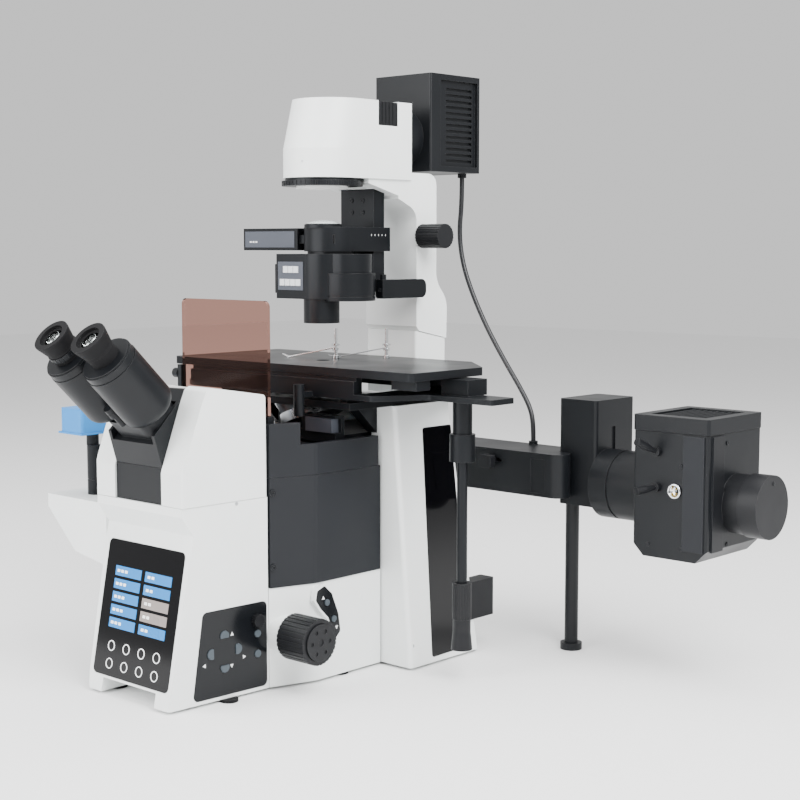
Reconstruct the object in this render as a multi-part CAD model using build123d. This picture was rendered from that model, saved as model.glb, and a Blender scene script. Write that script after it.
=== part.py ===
"""Inverted research microscope, in millimetres: X to the user's right, Y away, Z up."""
from build123d import *
import math
import os

os.makedirs("parts", exist_ok=True)

# Clearances and shared small sizes
seam = 0.4
running_gap = 0.3
shaft_gap = 0.06
button_travel = 0.8
button_proud = 1.2
button_depth = 3.0
far = 400

# Base housings: front console, middle body and rear tower
foot_height = 3
foot_radius = 10
console_front_y = -292.5
console_front_half = 69.5
console_back_y = -161
console_back_half = 78
console_slope_top_y = -259
console_slope_top_z = 182
console_band_y = -273.6
console_band_z = 203
console_top = 212
arch_half = 45
arch_top = 18
body_half = 96
body_bend_y = -107
body_back_y = -5
body_white_top = 112
tower_front_y = -3
tower_half_bottom = 142
tower_half_top = 117
tower_back_bottom = 118
tower_back_top = 91
tower_top = 300
tower_inner_bottom = 88
tower_inner_top = 79.5
tower_recess_back = 84
column_half = 45
column_back_y = 172
edge_round = 5

# Black covers and the casting between them
cover_thickness = 8
cover_proud = 1.5
cover_seam_z = 232
cover_top = 266
cover_front_top = 290
cover_front_back_y = -125
frame_top = 258
frame_rear_top = 234

# Upper housing and its tube bracket
cheek_inner = 39
shell_back_y = -161
shell_top = 334
bracket_lip_y = -281.5
bracket_lip_z = 285
bracket_face_top = 251
bracket_front_y = -271.5

# Screen and side control panel
screen_half = 63.5
screen_low_z = 21
screen_high_z = 164
panel_thickness = 2
panel_proud = 0.4
panel_front_y = -262
panel_back_y = -164
panel_low_z = 7
panel_high_z = 99.5
panel_cut = 14
panel_round = 6
arrow_center_y = -221
arrow_center_z = 54.2
arrow_step = 16.8
arrow_radius = 5.6
arrow_flat = 2.2
round_button_y = -177
round_button_zs = (66, 44)
round_button_radius = 4
dial_y = -178
dial_z = 81
dial_radius = 7
dial_height = 6
dial_shaft_radius = 2.5

# Button pod on the right flank
pod_points = ((-110, 104), (-99, 108), (-88, 98), (-78, 74), (-75, 54), (-83, 46),
              (-88, 56), (-93, 72), (-105, 84), (-112, 94))
pod_rim = 3
pod_height = 5
pod_depth = 3
pod_button_points = ((-96, 89.5), (-85.5, 69.5))
pod_button_radius = 3.6

# Focus knobs
focus_y = -143
focus_z = 60
focus_boss_radius = 21
focus_boss_x = 97
coarse_radius = 25
coarse_outer_x = 138
coarse_pocket_depth = 8
coarse_shaft_radius = 6
coarse_ribs = 30
fine_radius = 20
fine_outer_x = 140
fine_shaft_radius = 3
fine_dimples = 6

# Eyepiece barrels, set at 45 degrees
eye_half = 31
eye_y = -356
eye_z = 389.4
barrel_angle = 45
cup_radius = 20
cup_length = 15
ocular_radius = 15.5
ring_start = 19
ring_length = 6
ring_radius = 17.5
barrel_start = 30
barrel_cap_radius = 27
barrel_radius = 29
barrel_end = 112
barrel_round = 12
neck_end = 150
neck_half = 37
neck_below = 20
neck_above = 26
swing_drop = 20
knuckle_radius = 6
knuckle_length = 6
knuckle_start = 86
knuckle_web = 8
swing_pin_radius = 4

# Stage
bed_bottom = 300
bed_thickness = 8
bed_half = 112
bed_front_y = -70
bed_back_y = 104
bed_opening_front_y = -46
bed_opening_half = 79
rail_top = 312.2
rail_inner = 94
rail_outer = 104
gusset_inner = 74
gusset_outer = 90
gusset_reach = 34
carriage_bottom = 312.5
carriage_top = 318.5
carriage_left = -178
carriage_shoulder = 150
carriage_front_y = -75
carriage_back_y = 99
carriage_opening_front_y = -62
carriage_opening_back_y = 86
carriage_opening_half = 122
bar_end = 271
bar_half = 19
slide_rail_left = -150
slide_rail_right = 123
plate_bottom = 337
plate_top = 346
plate_left = -185
plate_right = 205
plate_front_y = -72
plate_back_y = 100
plate_cut_x = 143
plate_cut_y = 45
insert_radius = 20
insert_step = 4
insert_hole_radius = 8
insert_ledge = 4
insert_center_y = 0
guard_post_x = 55
guard_post_y = -92
guard_post_radius = 6
guard_post_low = 292
guard_post_high = 327
clip_posts = ((-5, 26, 200), (40, 66, 215))
clip_rod_radius = 2.2
clip_rod_top = 382
clip_arm_length = 62
clip_disc_radius = 5
clip_disc_z = 362

# Drive handle under the stage's right end
handle_x = 205
handle_y = 11
handle_collar_radius = 10.75
handle_collar_low = 275
handle_hub_radius = 14.25
handle_hub_low = 245
handle_tube_radius = 5.85
handle_tube_low = 110.3
upper_knob_radius = 10.75
upper_knob_low = 69.3
lower_knob_radius = 12
lower_knob_low = 35
handle_core_radius = 3
gear_block_top = 336

# Nosepiece
turret_tilt = 20
turret_reach = 70
turret_count = 6
turret_radius = 37
turret_thickness = 12
objective_length = 33
objective_radius = 10.5
nose_center_z = 296
carrier_low = 261
carrier_slab = 6
carrier_half = 44
slider_left = 38
slider_right = 80
slider_front_y = -64
slider_low = 272
slider_high = 288
slider_depth = 14

# Shield
shield_half = 71
shield_y = -151
shield_thickness = 4
shield_low = 290.5
shield_high = 421
shield_round = 7
shield_knob_z = 336
holder_wall = 1.6
holder_post = 5
holder_top = 297
groove_gap = 0.1

# Illumination column
pillar_half = 41
pillar_front_y = 117
pillar_back_y = 172
seam_front_z = 377
seam_back_z = 366
arch_back_y = 153
shoulder_z = 566
neck_low_z = 535
head_radius = 45
head_low = 557
head_crease = 590
head_top = 647
head_back_y = 105
head_lean = 15
tilt_axis_y = 172.4
tilt_axis_z = 366.2
tilt_pin_radius = 4
tilt_pin_half = 20
tilt_ear_end = 34
lens_boss_radius = 30
lens_boss_low = 545
field_radius = 47
field_low = 548
cassette_front_y = 48
cassette_back_y = 80
cassette_low = 619
cassette_inner_x = 6
guide_radius = 3
guide_x = 12
guide_y = 67
guide_low = 500
lock_boss_x = 42

# Top lamp house
lamp_half = 46
lamp_front_y = 138
lamp_back_y = 231
lamp_low = 569
lamp_high = 686
lamp_collar_radius = 34
lamp_collar_z = 610
louvre_count = 13
louvre_recess = 4

# Condenser
carrier_block_half = 27
carrier_block_front_y = 58
carrier_block_back_y = 76
carrier_block_low = 425
carrier_block_top = 546
drum_radius = 31
drum_y = 13
drum_low = 473
drum_high = 501
drum_tail_y = 82
dome_radius = 22
dome_rise = 8
slide_bar_left = -126
slide_bar_low = 474
slide_bar_high = 500
slide_bar_front_y = -10
slide_bar_back_y = 30
tongue_thickness = 10
tongue_end = 22
housing_low = 418
housing_high = 470
housing_left = -54
housing_front_y = -25
housing_radius = 33
flange_left = -61
phase_x = 25
phase_y = 17
phase_radius = 31.5
phase_low = 416
phase_high = 448
nose_tube_radius = 21
nose_tube_low = 390
nose_tube_y = -2
side_arm_inner = 45
side_arm_outer = 55
side_arm_front_y = 44
side_arm_back_y = 120
side_arm_low = 418
side_arm_high = 440
condenser_knob_y = 124
condenser_knob_z = 491
condenser_knob_radius = 14.5
condenser_boss_radius = 8
condenser_boss_x = 46
condenser_knob_x = 82
condenser_shaft_radius = 4

# Fluorescence arm, box and lamp house
arm_front_y = 152
arm_back_y = 220
arm_low = 188
arm_high = 239
arm_end = 233
lever_x = 132
lever_z = 226
box_left = 209
box_right = 262
box_front_y = 182
box_back_y = 258
box_low = 178
box_high = 302
coupler_y = 206
coupler_z = 205
coupler_radius = 40
house_left = 337
house_right = 431
house_front_y = 147
house_back_y = 257
house_low = 140
house_high = 296
lid_z = 279
fin_count = 9
flange_radius = 35
flange_z = 200
flange_step_x = 452
flange_end_x = 475
lever_stub_x = 368
lever_stub_zs = (257, 218)
lever_stub_radius = 5
lever_pin_radius = 2
lever_pin_depth = 12
lever_leans = ((-7, -27, 13), (-7, -27, -2))
socket_x = 391
socket_z = 216
leg_x = 215
leg_y = 202
leg_radius = 8
leg_foot_radius = 13
leg_foot_height = 8

# Left side: shelf, port and camera
shelf_outer = -180
shelf_inner = -66
shelf_front_y = -262
shelf_back_y = -190
shelf_top = 200
shelf_edge_low = 185.5
shelf_root_low = 130
port_x = -136
port_y = -228
port_radius = 9
port_top = 256
camera_left = -170
camera_right = -126
camera_low = 269
camera_high = 300
camera_half_depth = 24

# Small box on the tower's right rear
socket_box_left = 120
socket_box_right = 141
socket_box_front_y = 100
socket_box_back_y = 146
socket_box_low = 40
socket_box_high = 85

# Lamp cable
cable_radius = 3
cable_route = ((24, 222, 564), (24, 222, 533), (19.5, 222, 495), (26, 222, 456), (43, 221.5, 418),
               (67, 221, 377), (95, 220, 339), (121, 218, 308), (140, 216, 283), (146, 214.5, 262),
               (146, 214.5, 243))
gland_radius = 5.5
gland_height = 4


def box(x0, x1, y0, y1, z0, z1):
    middle = Pos((x0 + x1) / 2, (y0 + y1) / 2, (z0 + z1) / 2)
    return middle * Box(x1 - x0, y1 - y0, z1 - z0)


def rod_x(y, z, radius, x0, x1):
    return Pos((x0 + x1) / 2, y, z) * Rot(0, 90, 0) * Cylinder(radius, x1 - x0)


def rod_y(x, z, radius, y0, y1):
    return Pos(x, (y0 + y1) / 2, z) * Rot(90, 0, 0) * Cylinder(radius, y1 - y0)


def rod_z(x, y, radius, z0, z1):
    return Pos(x, y, (z0 + z1) / 2) * Cylinder(radius, z1 - z0)


def prism(points, direction, length, radii=0):
    if radii == 0:
        wire = Polyline(*points, close=True)
    else:
        wire = FilletPolyline(*points, radius=radii, close=True)
    return extrude(make_face(wire), amount=length, dir=direction)


def prism_x(points, x0, x1, radii=0):
    return prism([(x0, y, z) for y, z in points], (1, 0, 0), x1 - x0, radii)


def prism_y(points, y0, y1, radii=0):
    return prism([(x, y0, z) for x, z in points], (0, 1, 0), y1 - y0, radii)


def prism_z(points, z0, z1, radii=0):
    return prism([(x, y, z0) for x, y in points], (0, 0, 1), z1 - z0, radii)


def both_sides(shape):
    return [shape, mirror(shape, Plane.YZ)]


def ribbed(knob, axis_place, radius, count, length, width=1.2, depth=0.9):
    """Cut straight flutes into a knob whose axis is the local Z of axis_place."""
    cutter = Box(2 * depth, width, length)
    flutes = [axis_place * Rot(0, 0, 360 * i / count) * Pos(radius, 0, 0) * cutter for i in range(count)]
    return knob - flutes


# The console's right flank, as a plane: local X runs back along it, local Y up
flank_run = console_back_y - console_front_y
flank_drift = console_back_half - console_front_half
flank_length = math.hypot(flank_run, flank_drift)
flank_place = Plane(origin=(console_front_half, console_front_y, 0),
                    x_dir=(flank_drift, flank_run, 0), z_dir=(flank_run, -flank_drift, 0)).location


def flank_u(y):
    return (y - console_front_y) * flank_length / flank_run


# The console's sloping front, as a plane: local X across, local Y up the slope
slope_rise = console_slope_top_z - foot_height
slope_run = console_slope_top_y - console_front_y
slope_length = math.hypot(slope_rise, slope_run)
slope_place = Plane(origin=(0, console_front_y, foot_height), x_dir=(1, 0, 0),
                    z_dir=(0, -slope_rise, slope_run)).location


def slope_v(z):
    return (z - foot_height) * slope_length / slope_rise


def screen_block(grow, low, high):
    height = slope_v(screen_high_z) - slope_v(screen_low_z)
    middle = (slope_v(screen_high_z) + slope_v(screen_low_z)) / 2
    plate = extrude(RectangleRounded(2 * (screen_half + grow), height + 2 * grow, panel_round), high - low)
    return slope_place * Pos(0, middle, low) * plate


def screen_panel():
    return [screen_block(0, -panel_thickness + panel_proud, panel_proud)]


def control_outline(grow):
    back = flank_u(panel_back_y) + grow
    front_high = flank_u(panel_front_y + panel_cut) - grow
    front_low = flank_u(panel_front_y) - grow
    return [(front_low, panel_low_z - grow), (back, panel_low_z - grow),
            (back, panel_high_z + grow), (front_high, panel_high_z + grow)]


def control_block(grow, low, high):
    face = make_face(FilletPolyline(*control_outline(grow), radius=panel_round, close=True))
    return flank_place * Pos(0, 0, low) * extrude(face, high - low)


def arrow_block(grow, turn, low, high):
    """A D-shaped button: local X points away from the middle of the cross."""
    disc = Cylinder(arrow_radius + grow, high - low)
    cut = Pos(-far / 2 - arrow_flat - grow, 0, 0) * Box(far, far, far)
    place = flank_place * Pos(flank_u(arrow_center_y), arrow_center_z, (low + high) / 2)
    return place * Rot(0, 0, turn) * Pos(arrow_step, 0, 0) * (disc - cut)


def round_block(z, grow, low, high):
    place = flank_place * Pos(flank_u(round_button_y), z, (low + high) / 2)
    return place * Cylinder(round_button_radius + grow, high - low)


arrow_turns = {"right_button": 0, "up_button": 90, "left_button": 180, "down_button": 270}
button_top = panel_proud + button_proud
button_low = button_top - button_depth - button_proud
pocket_low = button_low - button_travel - running_gap


def panel_holes(low, high):
    holes = [arrow_block(running_gap, turn, low, high) for turn in arrow_turns.values()]
    holes += [round_block(z, running_gap, low, high) for z in round_button_zs]
    dial_spot = flank_place * Pos(flank_u(dial_y), dial_z, (low + high) / 2)
    holes.append(dial_spot * Cylinder(dial_shaft_radius + shaft_gap, high - low))
    return holes


def control_panel():
    plate = control_block(0, -panel_thickness + panel_proud, panel_proud)
    return [plate - panel_holes(-far / 20, far / 20)]


def arrow_button(name):
    return [arrow_block(0, arrow_turns[name], button_low, button_top)]


def round_button(index):
    return [round_block(round_button_zs[index], 0, button_low, button_top)]


def light_dial():
    spot = flank_place * Pos(flank_u(dial_y), dial_z, 0)
    low = panel_proud + running_gap
    knob = spot * Pos(0, 0, low + dial_height / 2) * Cylinder(dial_radius, dial_height)
    place = spot * Pos(0, 0, low + dial_height / 2)
    knob = ribbed(knob, place, dial_radius, 16, dial_height + 1)
    shaft_length = low - pocket_low - running_gap
    shaft = spot * Pos(0, 0, low - shaft_length / 2) * Cylinder(dial_shaft_radius, shaft_length)
    return [knob + shaft]


def console_block():
    plan = [(-console_front_half, console_front_y), (console_front_half, console_front_y),
            (console_back_half, console_back_y - seam), (-console_back_half, console_back_y - seam)]
    return prism_z(plan, foot_height, console_top, (edge_round, edge_round, 0.5, 0.5))


def console_shell():
    profile = [(console_front_y, foot_height), (console_slope_top_y, console_slope_top_z),
               (console_band_y, console_band_z), (console_band_y, console_top),
               (console_back_y, console_top), (console_back_y, foot_height)]
    body = console_block() & prism_x(profile, -far, far)
    body -= box(-arch_half, arch_half, console_front_y - 1, console_front_y + 60, 0, arch_top)
    body -= screen_block(running_gap, -panel_thickness + panel_proud, far / 10)
    body -= control_block(running_gap, -panel_thickness + panel_proud, far / 10)
    return [body - panel_holes(pocket_low, panel_proud)]


# How fast the middle body's front facet widens towards the back
facet_slope = (body_half - 1 - console_back_half) / (body_bend_y - 3 - console_back_y)


def body_plan(outset, front_y, back_y):
    """Right half of the middle body's plan: a facet, a bend and a straight side."""
    facet_x = console_back_half + (front_y - console_back_y) * facet_slope
    return [(facet_x + outset, front_y), (body_half - 1 + outset, body_bend_y - 3),
            (body_half + outset, body_bend_y + 2), (body_half + outset, back_y)]


def whole_plan(half_points):
    return half_points + [(-x, y) for x, y in reversed(half_points)]


def pod_face(grow, x):
    wire = Polyline(*[(x, y, z) for y, z in pod_points], close=True)
    face = make_face(wire)
    face = fillet(face.vertices(), 2.4)
    if grow:
        face = offset(face, grow)
    return face


def pod_solid(grow, x0, x1):
    return extrude(pod_face(grow, x0), amount=x1 - x0, dir=(1, 0, 0))


def pod_button_rod(index, grow, x0, x1):
    y, z = pod_button_points[index]
    return rod_x(y, z, pod_button_radius + grow, x0, x1)


def mid_body_shell():
    plan = whole_plan(body_plan(0, console_back_y + seam, body_back_y))
    shell = prism_z(plan, foot_height, body_white_top)
    boss = rod_x(focus_y, focus_z, focus_boss_radius, console_back_half + 1, focus_boss_x)
    shell += both_sides(boss)
    shell -= rod_x(focus_y, focus_z, coarse_shaft_radius + shaft_gap, -far, far)
    rim_top = body_half + pod_height
    rim = pod_solid(pod_rim, body_half - 1, rim_top)
    shell += rim & box(0, far, -far, far, 0, body_white_top - seam)
    shell -= pod_solid(running_gap, rim_top - pod_depth, far)
    low = rim_top - pod_depth - button_depth - button_travel
    for index in range(len(pod_button_points)):
        shell -= pod_button_rod(index, running_gap, low, far)
    return [shell]


def button_pod():
    rim_top = body_half + pod_height
    plate = pod_solid(0, rim_top - pod_depth, rim_top + panel_proud)
    for index in range(len(pod_button_points)):
        plate -= pod_button_rod(index, running_gap, 0, far)
    return [plate]


def pod_button(index):
    top = body_half + pod_height + panel_proud + button_proud
    return [pod_button_rod(index, 0, top - button_depth - pod_depth, top)]


def cover_band(z0, z1, front_y, back_y):
    outer = body_plan(cover_proud, front_y, back_y)
    inner = body_plan(cover_proud - cover_thickness, front_y, back_y)
    return prism_z(outer + inner[::-1], z0, z1)


def side_covers():
    front = console_back_y + 1.5
    lower = cover_band(body_white_top + seam, cover_seam_z - seam / 2, front, body_back_y - 1)
    upper = cover_band(cover_seam_z + seam / 2, cover_front_top, front, body_back_y - 4)
    notch = box(0, far, cover_front_back_y, far, cover_top, far)
    pieces = []
    for piece in (lower, upper - notch, tower_glass()):
        pieces += both_sides(piece)
    return pieces


def tower_glass():
    """The glossy inlay on the tower's outer side."""
    points = [(41, 272), (90, 272), (93, 184), (80, 10), (34, 9)]
    slab = prism_x(points, 0, far, 3)
    return slab & (tower_block(0.6) - tower_block(0))


def tower_block(outset):
    low = tower_half_bottom + outset
    high = tower_half_top + outset
    bottom = Pos(0, (tower_front_y + tower_back_bottom) / 2, foot_height) * Rectangle(
        2 * low, tower_back_bottom - tower_front_y)
    top = Pos(0, (tower_front_y + tower_back_top) / 2, tower_top) * Rectangle(
        2 * high, tower_back_top - tower_front_y)
    return loft([bottom.face(), top.face()], ruled=True)


def tower_recess():
    low = Pos(0, (tower_recess_back - 40) / 2, body_white_top) * Rectangle(
        2 * tower_inner_bottom, tower_recess_back + 40)
    high = Pos(0, (tower_recess_back - 40) / 2, tower_top + 1) * Rectangle(
        2 * tower_inner_top, tower_recess_back + 40)
    return loft([low.face(), high.face()], ruled=True)


def tower_shell():
    tower = tower_block(0)
    upright = tower.edges().filter_by(lambda edge: abs((edge % 0.5).Z) > 0.9)
    tower = fillet(upright, edge_round)
    tower += box(-column_half, column_half, tower_recess_back + 4, column_back_y, foot_height, tower_top)
    tower -= tower_recess()
    points = [(pillar_front_y, tower_top), (pillar_front_y, seam_front_z), (pillar_back_y, seam_back_z),
              (pillar_back_y, tower_top)]
    foot = prism_x(points, -pillar_half, pillar_half)
    foot = fillet(foot.edges().filter_by(Axis.Z), 3)
    foot -= tilt_rod(running_gap, -tilt_pin_half, tilt_pin_half)
    for ear in both_sides(tilt_rod(0, tilt_pin_half, tilt_ear_end)):
        foot += ear
    return [tower, foot]


def tilt_rod(grow, x0, x1):
    """A length of the round hinge that the column tilts back on."""
    return rod_x(tilt_axis_y, tilt_axis_z, tilt_pin_radius + grow, x0, x1)


def body_frame():
    plan = whole_plan(body_plan(cover_proud - cover_thickness - seam, console_back_y + 3, body_back_y - 3))
    front = prism_z(plan, body_white_top + seam, frame_top)
    inner = tower_inner_top - 3
    rear = box(-inner, inner, body_back_y - 4, tower_recess_back - seam, body_white_top + seam, frame_rear_top)
    return [front + rear]


def rubber_feet():
    spots = [(55, -262), (-55, -262), (75, -216), (-75, -216), (85, -60), (-85, -60), (118, 60), (-118, 60)]
    return [rod_z(x, y, foot_radius, 0, foot_height) for x, y in spots]


def upper_shell():
    plan = [(-console_front_half - 3, console_band_y), (console_front_half + 3, console_band_y),
            (console_back_half, shell_back_y), (-console_back_half, shell_back_y)]
    low = console_top + seam
    profile = [(console_band_y, low), (console_band_y, 247), (-248, 315), (-241, 331), (-235, shell_top),
               (shell_back_y - 2, 322), (shell_back_y, low)]
    shell = prism_z(plan, low, shell_top + 2, (3, 3, 3, 3))
    shell = shell & prism_x(profile, -far, far, (0, 12, 14, 5, 5, 5, 0))
    groove = box(-cheek_inner, cheek_inner, -far, shell_back_y - 10, low - 1, far)
    return [shell - groove]


# The eyepiece axis: local Z runs down the barrel from the eye's rim
def barrel_place(x):
    tilt = math.radians(barrel_angle)
    return Plane(origin=(x, eye_y, eye_z), x_dir=(1, 0, 0),
                 z_dir=(0, math.cos(tilt), -math.sin(tilt))).location


def barrel_disc(x, radius, start, end):
    return barrel_place(x) * Pos(0, 0, (start + end) / 2) * Cylinder(radius, end - start)


def tube_bracket():
    low = console_top + seam
    half = cheek_inner - seam
    cover = box(-half, half, bracket_front_y, shell_back_y - 12, low, bracket_face_top - seam)
    top_run = shell_top - 4 - bracket_lip_z
    points = [(bracket_front_y, bracket_face_top), (bracket_lip_y, bracket_lip_z),
              (bracket_lip_y + top_run, bracket_lip_z + top_run), (shell_back_y - 12, 322),
              (shell_back_y - 12, bracket_face_top)]
    body = prism_x(points, -half, half)
    trough = barrel_place(0) * Pos(0, 0, neck_end - 30) * Box(2 * neck_half - 6, 2 * neck_above, 30)
    body -= trough
    neck = neck_block(barrel_end + running_gap, neck_end)
    pin_start = knuckle_start + 2 * (knuckle_length + running_gap)
    pin_length = barrel_end + 1 - pin_start
    pin = barrel_place(0) * Pos(0, swing_drop, pin_start + pin_length / 2) * Cylinder(
        swing_pin_radius, pin_length)
    return [cover, body + neck + pin]


def neck_block(start, end):
    height = neck_below + neck_above
    block = extrude(RectangleRounded(2 * neck_half - 4, height, 14), end - start)
    return barrel_place(0) * Pos(0, (neck_below - neck_above) / 2, start) * block


def barrel(x):
    tube = barrel_disc(x, barrel_radius, barrel_start + 10, barrel_end)
    tube = fillet(tube.edges().sort_by(Axis.Z)[0], barrel_round)
    cap = barrel_disc(x, barrel_radius - 0.6, barrel_start + 2, barrel_start + 9.4)
    lip = barrel_disc(x, barrel_cap_radius, barrel_start, barrel_start + 2)
    joint = barrel_disc(x, barrel_radius - 1.2, barrel_start + 9.4, barrel_start + 10)
    return [tube + joint + cap + lip, swing_knuckle(x)]


def swing_knuckle(x):
    """The barrel's half of the hinge that sets the eye spacing; the left one lies nearer the neck."""
    start = knuckle_start if x > 0 else knuckle_start + knuckle_length + running_gap
    place = barrel_place(0) * Pos(0, swing_drop, start + knuckle_length / 2)
    reach = math.hypot(eye_half, swing_drop)
    turn = math.degrees(math.atan2(-swing_drop, x))
    web = place * Rot(0, 0, turn) * Pos(reach / 2, 0, 0) * Box(reach, knuckle_web, knuckle_length)
    knuckle = place * Cylinder(knuckle_radius, knuckle_length)
    return knuckle + web - barrel_disc(x, barrel_radius, barrel_start, barrel_end)


def eyepiece(x):
    place = barrel_place(x)
    cup = loft([(place * Pos(0, 0, 2) * Circle(cup_radius)).face(),
                (place * Pos(0, 0, cup_length) * Circle(cup_radius - 3)).face()])
    rim = barrel_disc(x, cup_radius, 0, 2)
    ocular = barrel_disc(x, ocular_radius, cup_length, barrel_start)
    flare = barrel_disc(x, ring_radius - 1, cup_length, ring_start - running_gap)
    body = cup + rim + ocular + flare
    body -= barrel_disc(x, cup_radius - 6, -1, 4)
    body -= barrel_disc(x, cup_radius - 9, 3, 6)
    return [body]


def diopter_ring():
    ring = barrel_disc(-eye_half, ring_radius, ring_start, ring_start + ring_length)
    middle = barrel_place(-eye_half) * Pos(0, 0, ring_start + ring_length / 2)
    ring = ribbed(ring, middle, ring_radius, 24, ring_length + 1, 1, 0.5)
    return [ring - barrel_disc(-eye_half, ocular_radius + shaft_gap, 0, barrel_start)]


def focus_knob_side(side):
    start = focus_boss_x + seam
    length = coarse_outer_x - start
    middle = Pos(side * (start + length / 2), focus_y, focus_z) * Rot(0, 90, 0)
    knob = middle * Cylinder(coarse_radius, length)
    knob = ribbed(knob, middle, coarse_radius, coarse_ribs, length + 1, 1.6, 0.8)
    face = side * (coarse_outer_x - coarse_pocket_depth)
    edge = side * (coarse_outer_x + 1)
    return knob - rod_x(focus_y, focus_z, fine_radius + running_gap, min(face, edge), max(face, edge))


def coarse_knobs():
    reach = focus_boss_x + seam + 2
    shaft = rod_x(focus_y, focus_z, coarse_shaft_radius, -reach, reach)
    body = focus_knob_side(1) + focus_knob_side(-1) + shaft
    return [body - rod_x(focus_y, focus_z, fine_shaft_radius + shaft_gap, -far, far)]


def fine_knobs():
    start = coarse_outer_x - coarse_pocket_depth + running_gap
    body = rod_x(focus_y, focus_z, fine_shaft_radius, -start - 1, start + 1)
    for side in (1, -1):
        low, high = sorted((side * start, side * fine_outer_x))
        disc = rod_x(focus_y, focus_z, fine_radius, low, high)
        dimples = []
        for index in range(fine_dimples):
            angle = 2 * math.pi * index / fine_dimples
            y = focus_y + 13 * math.cos(angle)
            z = focus_z + 13 * math.sin(angle)
            dimples.append(rod_x(y, z, 2.4, *sorted((side * (fine_outer_x - 1.2), side * (fine_outer_x + 1)))))
        dimples.append(rod_x(focus_y, focus_z, 4, *sorted((side * (fine_outer_x - 1), side * (fine_outer_x + 1)))))
        body += disc - dimples
    return [body]


def stage_bed():
    half = bed_half
    top = bed_bottom + bed_thickness
    plate = box(-half, half, bed_front_y, bed_back_y, bed_bottom, top)
    plate -= box(-bed_opening_half, bed_opening_half, bed_opening_front_y, far, bed_bottom - 1, top + 1)
    rail = box(rail_inner, rail_outer, bed_front_y + 4, bed_back_y - 4, top, rail_top)
    gusset = prism_x([(tower_front_y - seam, bed_bottom - 32), (tower_front_y - seam, bed_bottom),
                      (tower_front_y - gusset_reach, bed_bottom)], gusset_inner, gusset_outer)
    for piece in both_sides(rail) + both_sides(gusset):
        plate += piece
    return [plate]


def y_carriage():
    plan = [(carriage_left, carriage_front_y), (carriage_shoulder, carriage_front_y),
            (carriage_shoulder + 30, -bar_half), (bar_end, -bar_half), (bar_end, bar_half),
            (carriage_shoulder + 30, bar_half), (carriage_shoulder, carriage_back_y),
            (carriage_left, carriage_back_y)]
    plate = prism_z(plan, carriage_bottom, carriage_top, (40, 6, 10, 3, 3, 10, 6, 40))
    plate -= box(-carriage_opening_half, carriage_opening_half, carriage_opening_front_y,
                 carriage_opening_back_y, carriage_bottom - 1, carriage_top + 1)
    rail_low = carriage_top
    rail_high = plate_bottom - running_gap
    front = box(slide_rail_left, slide_rail_right, carriage_front_y, carriage_opening_front_y,
                rail_low, rail_high - 4)
    front += box(slide_rail_left, slide_rail_right, carriage_front_y + 4, carriage_opening_front_y,
                 rail_high - 4, rail_high)
    back = box(slide_rail_left, slide_rail_right, carriage_opening_back_y, carriage_back_y,
               rail_low, rail_high)
    gears = box(handle_x - 16, handle_x + 22, -6, 26, rail_low, gear_block_top)
    post = rod_z(guard_post_x, guard_post_y, guard_post_radius, guard_post_low, guard_post_high)
    post += box(guard_post_x - 4, guard_post_x + 4, guard_post_y, carriage_front_y + 1,
                carriage_bottom, carriage_top)
    body = plate + front + back + gears + post
    core = handle_core_radius + shaft_gap
    handle = rod_z(handle_x, handle_y, handle_collar_radius, handle_collar_low, carriage_bottom)
    handle += rod_z(handle_x, handle_y, handle_hub_radius, handle_hub_low, handle_collar_low)
    handle += rod_z(handle_x, handle_y, handle_tube_radius, handle_tube_low, handle_hub_low)
    body += handle
    return [body - rod_z(handle_x, handle_y, core, 0, handle_tube_low + 20)]


def y_knob():
    top = handle_tube_low - running_gap
    knob = rod_z(handle_x, handle_y, upper_knob_radius, upper_knob_low, top)
    knob = ribbed(knob, Pos(handle_x, handle_y, (upper_knob_low + top) / 2), upper_knob_radius, 20,
                  top - upper_knob_low + 1, 1.2, 0.5)
    return [knob - rod_z(handle_x, handle_y, handle_core_radius + shaft_gap, 0, far)]


def x_knob():
    top = upper_knob_low - running_gap
    height = top - lower_knob_low
    flare = loft([(Pos(handle_x, handle_y, lower_knob_low) * Circle(lower_knob_radius)).face(),
                  (Pos(handle_x, handle_y, lower_knob_low + 0.6 * height) * Circle(lower_knob_radius - 2)).face()])
    neck = rod_z(handle_x, handle_y, lower_knob_radius - 2, lower_knob_low + 0.6 * height, top)
    core = rod_z(handle_x, handle_y, handle_core_radius, top - 1, handle_tube_low + 19)
    return [flare + neck + core]


def x_plate():
    plan = [(plate_left, plate_front_y), (plate_right, plate_front_y), (plate_right, plate_cut_y),
            (plate_cut_x, plate_back_y), (plate_left, plate_back_y)]
    plate = prism_z(plan, plate_bottom, plate_top, (6, 6, 4, 4, 6))
    plate -= rod_z(0, insert_center_y, insert_radius, plate_top - insert_step, far)
    plate -= rod_z(0, insert_center_y, insert_radius - insert_ledge, 0, far)
    lug = box(plate_right - 40, plate_right - 4, plate_front_y + 12, plate_front_y + 34, plate_bottom - 11,
              plate_bottom)
    plate += lug
    for x, y, _ in clip_posts:
        plate -= rod_z(x, y, clip_rod_radius + shaft_gap, plate_top - 6, far)
    return [plate]


def stage_insert():
    ring = rod_z(0, insert_center_y, insert_radius - running_gap, plate_top - insert_step, plate_top)
    return [ring - rod_z(0, insert_center_y, insert_hole_radius, 0, far)]


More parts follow.
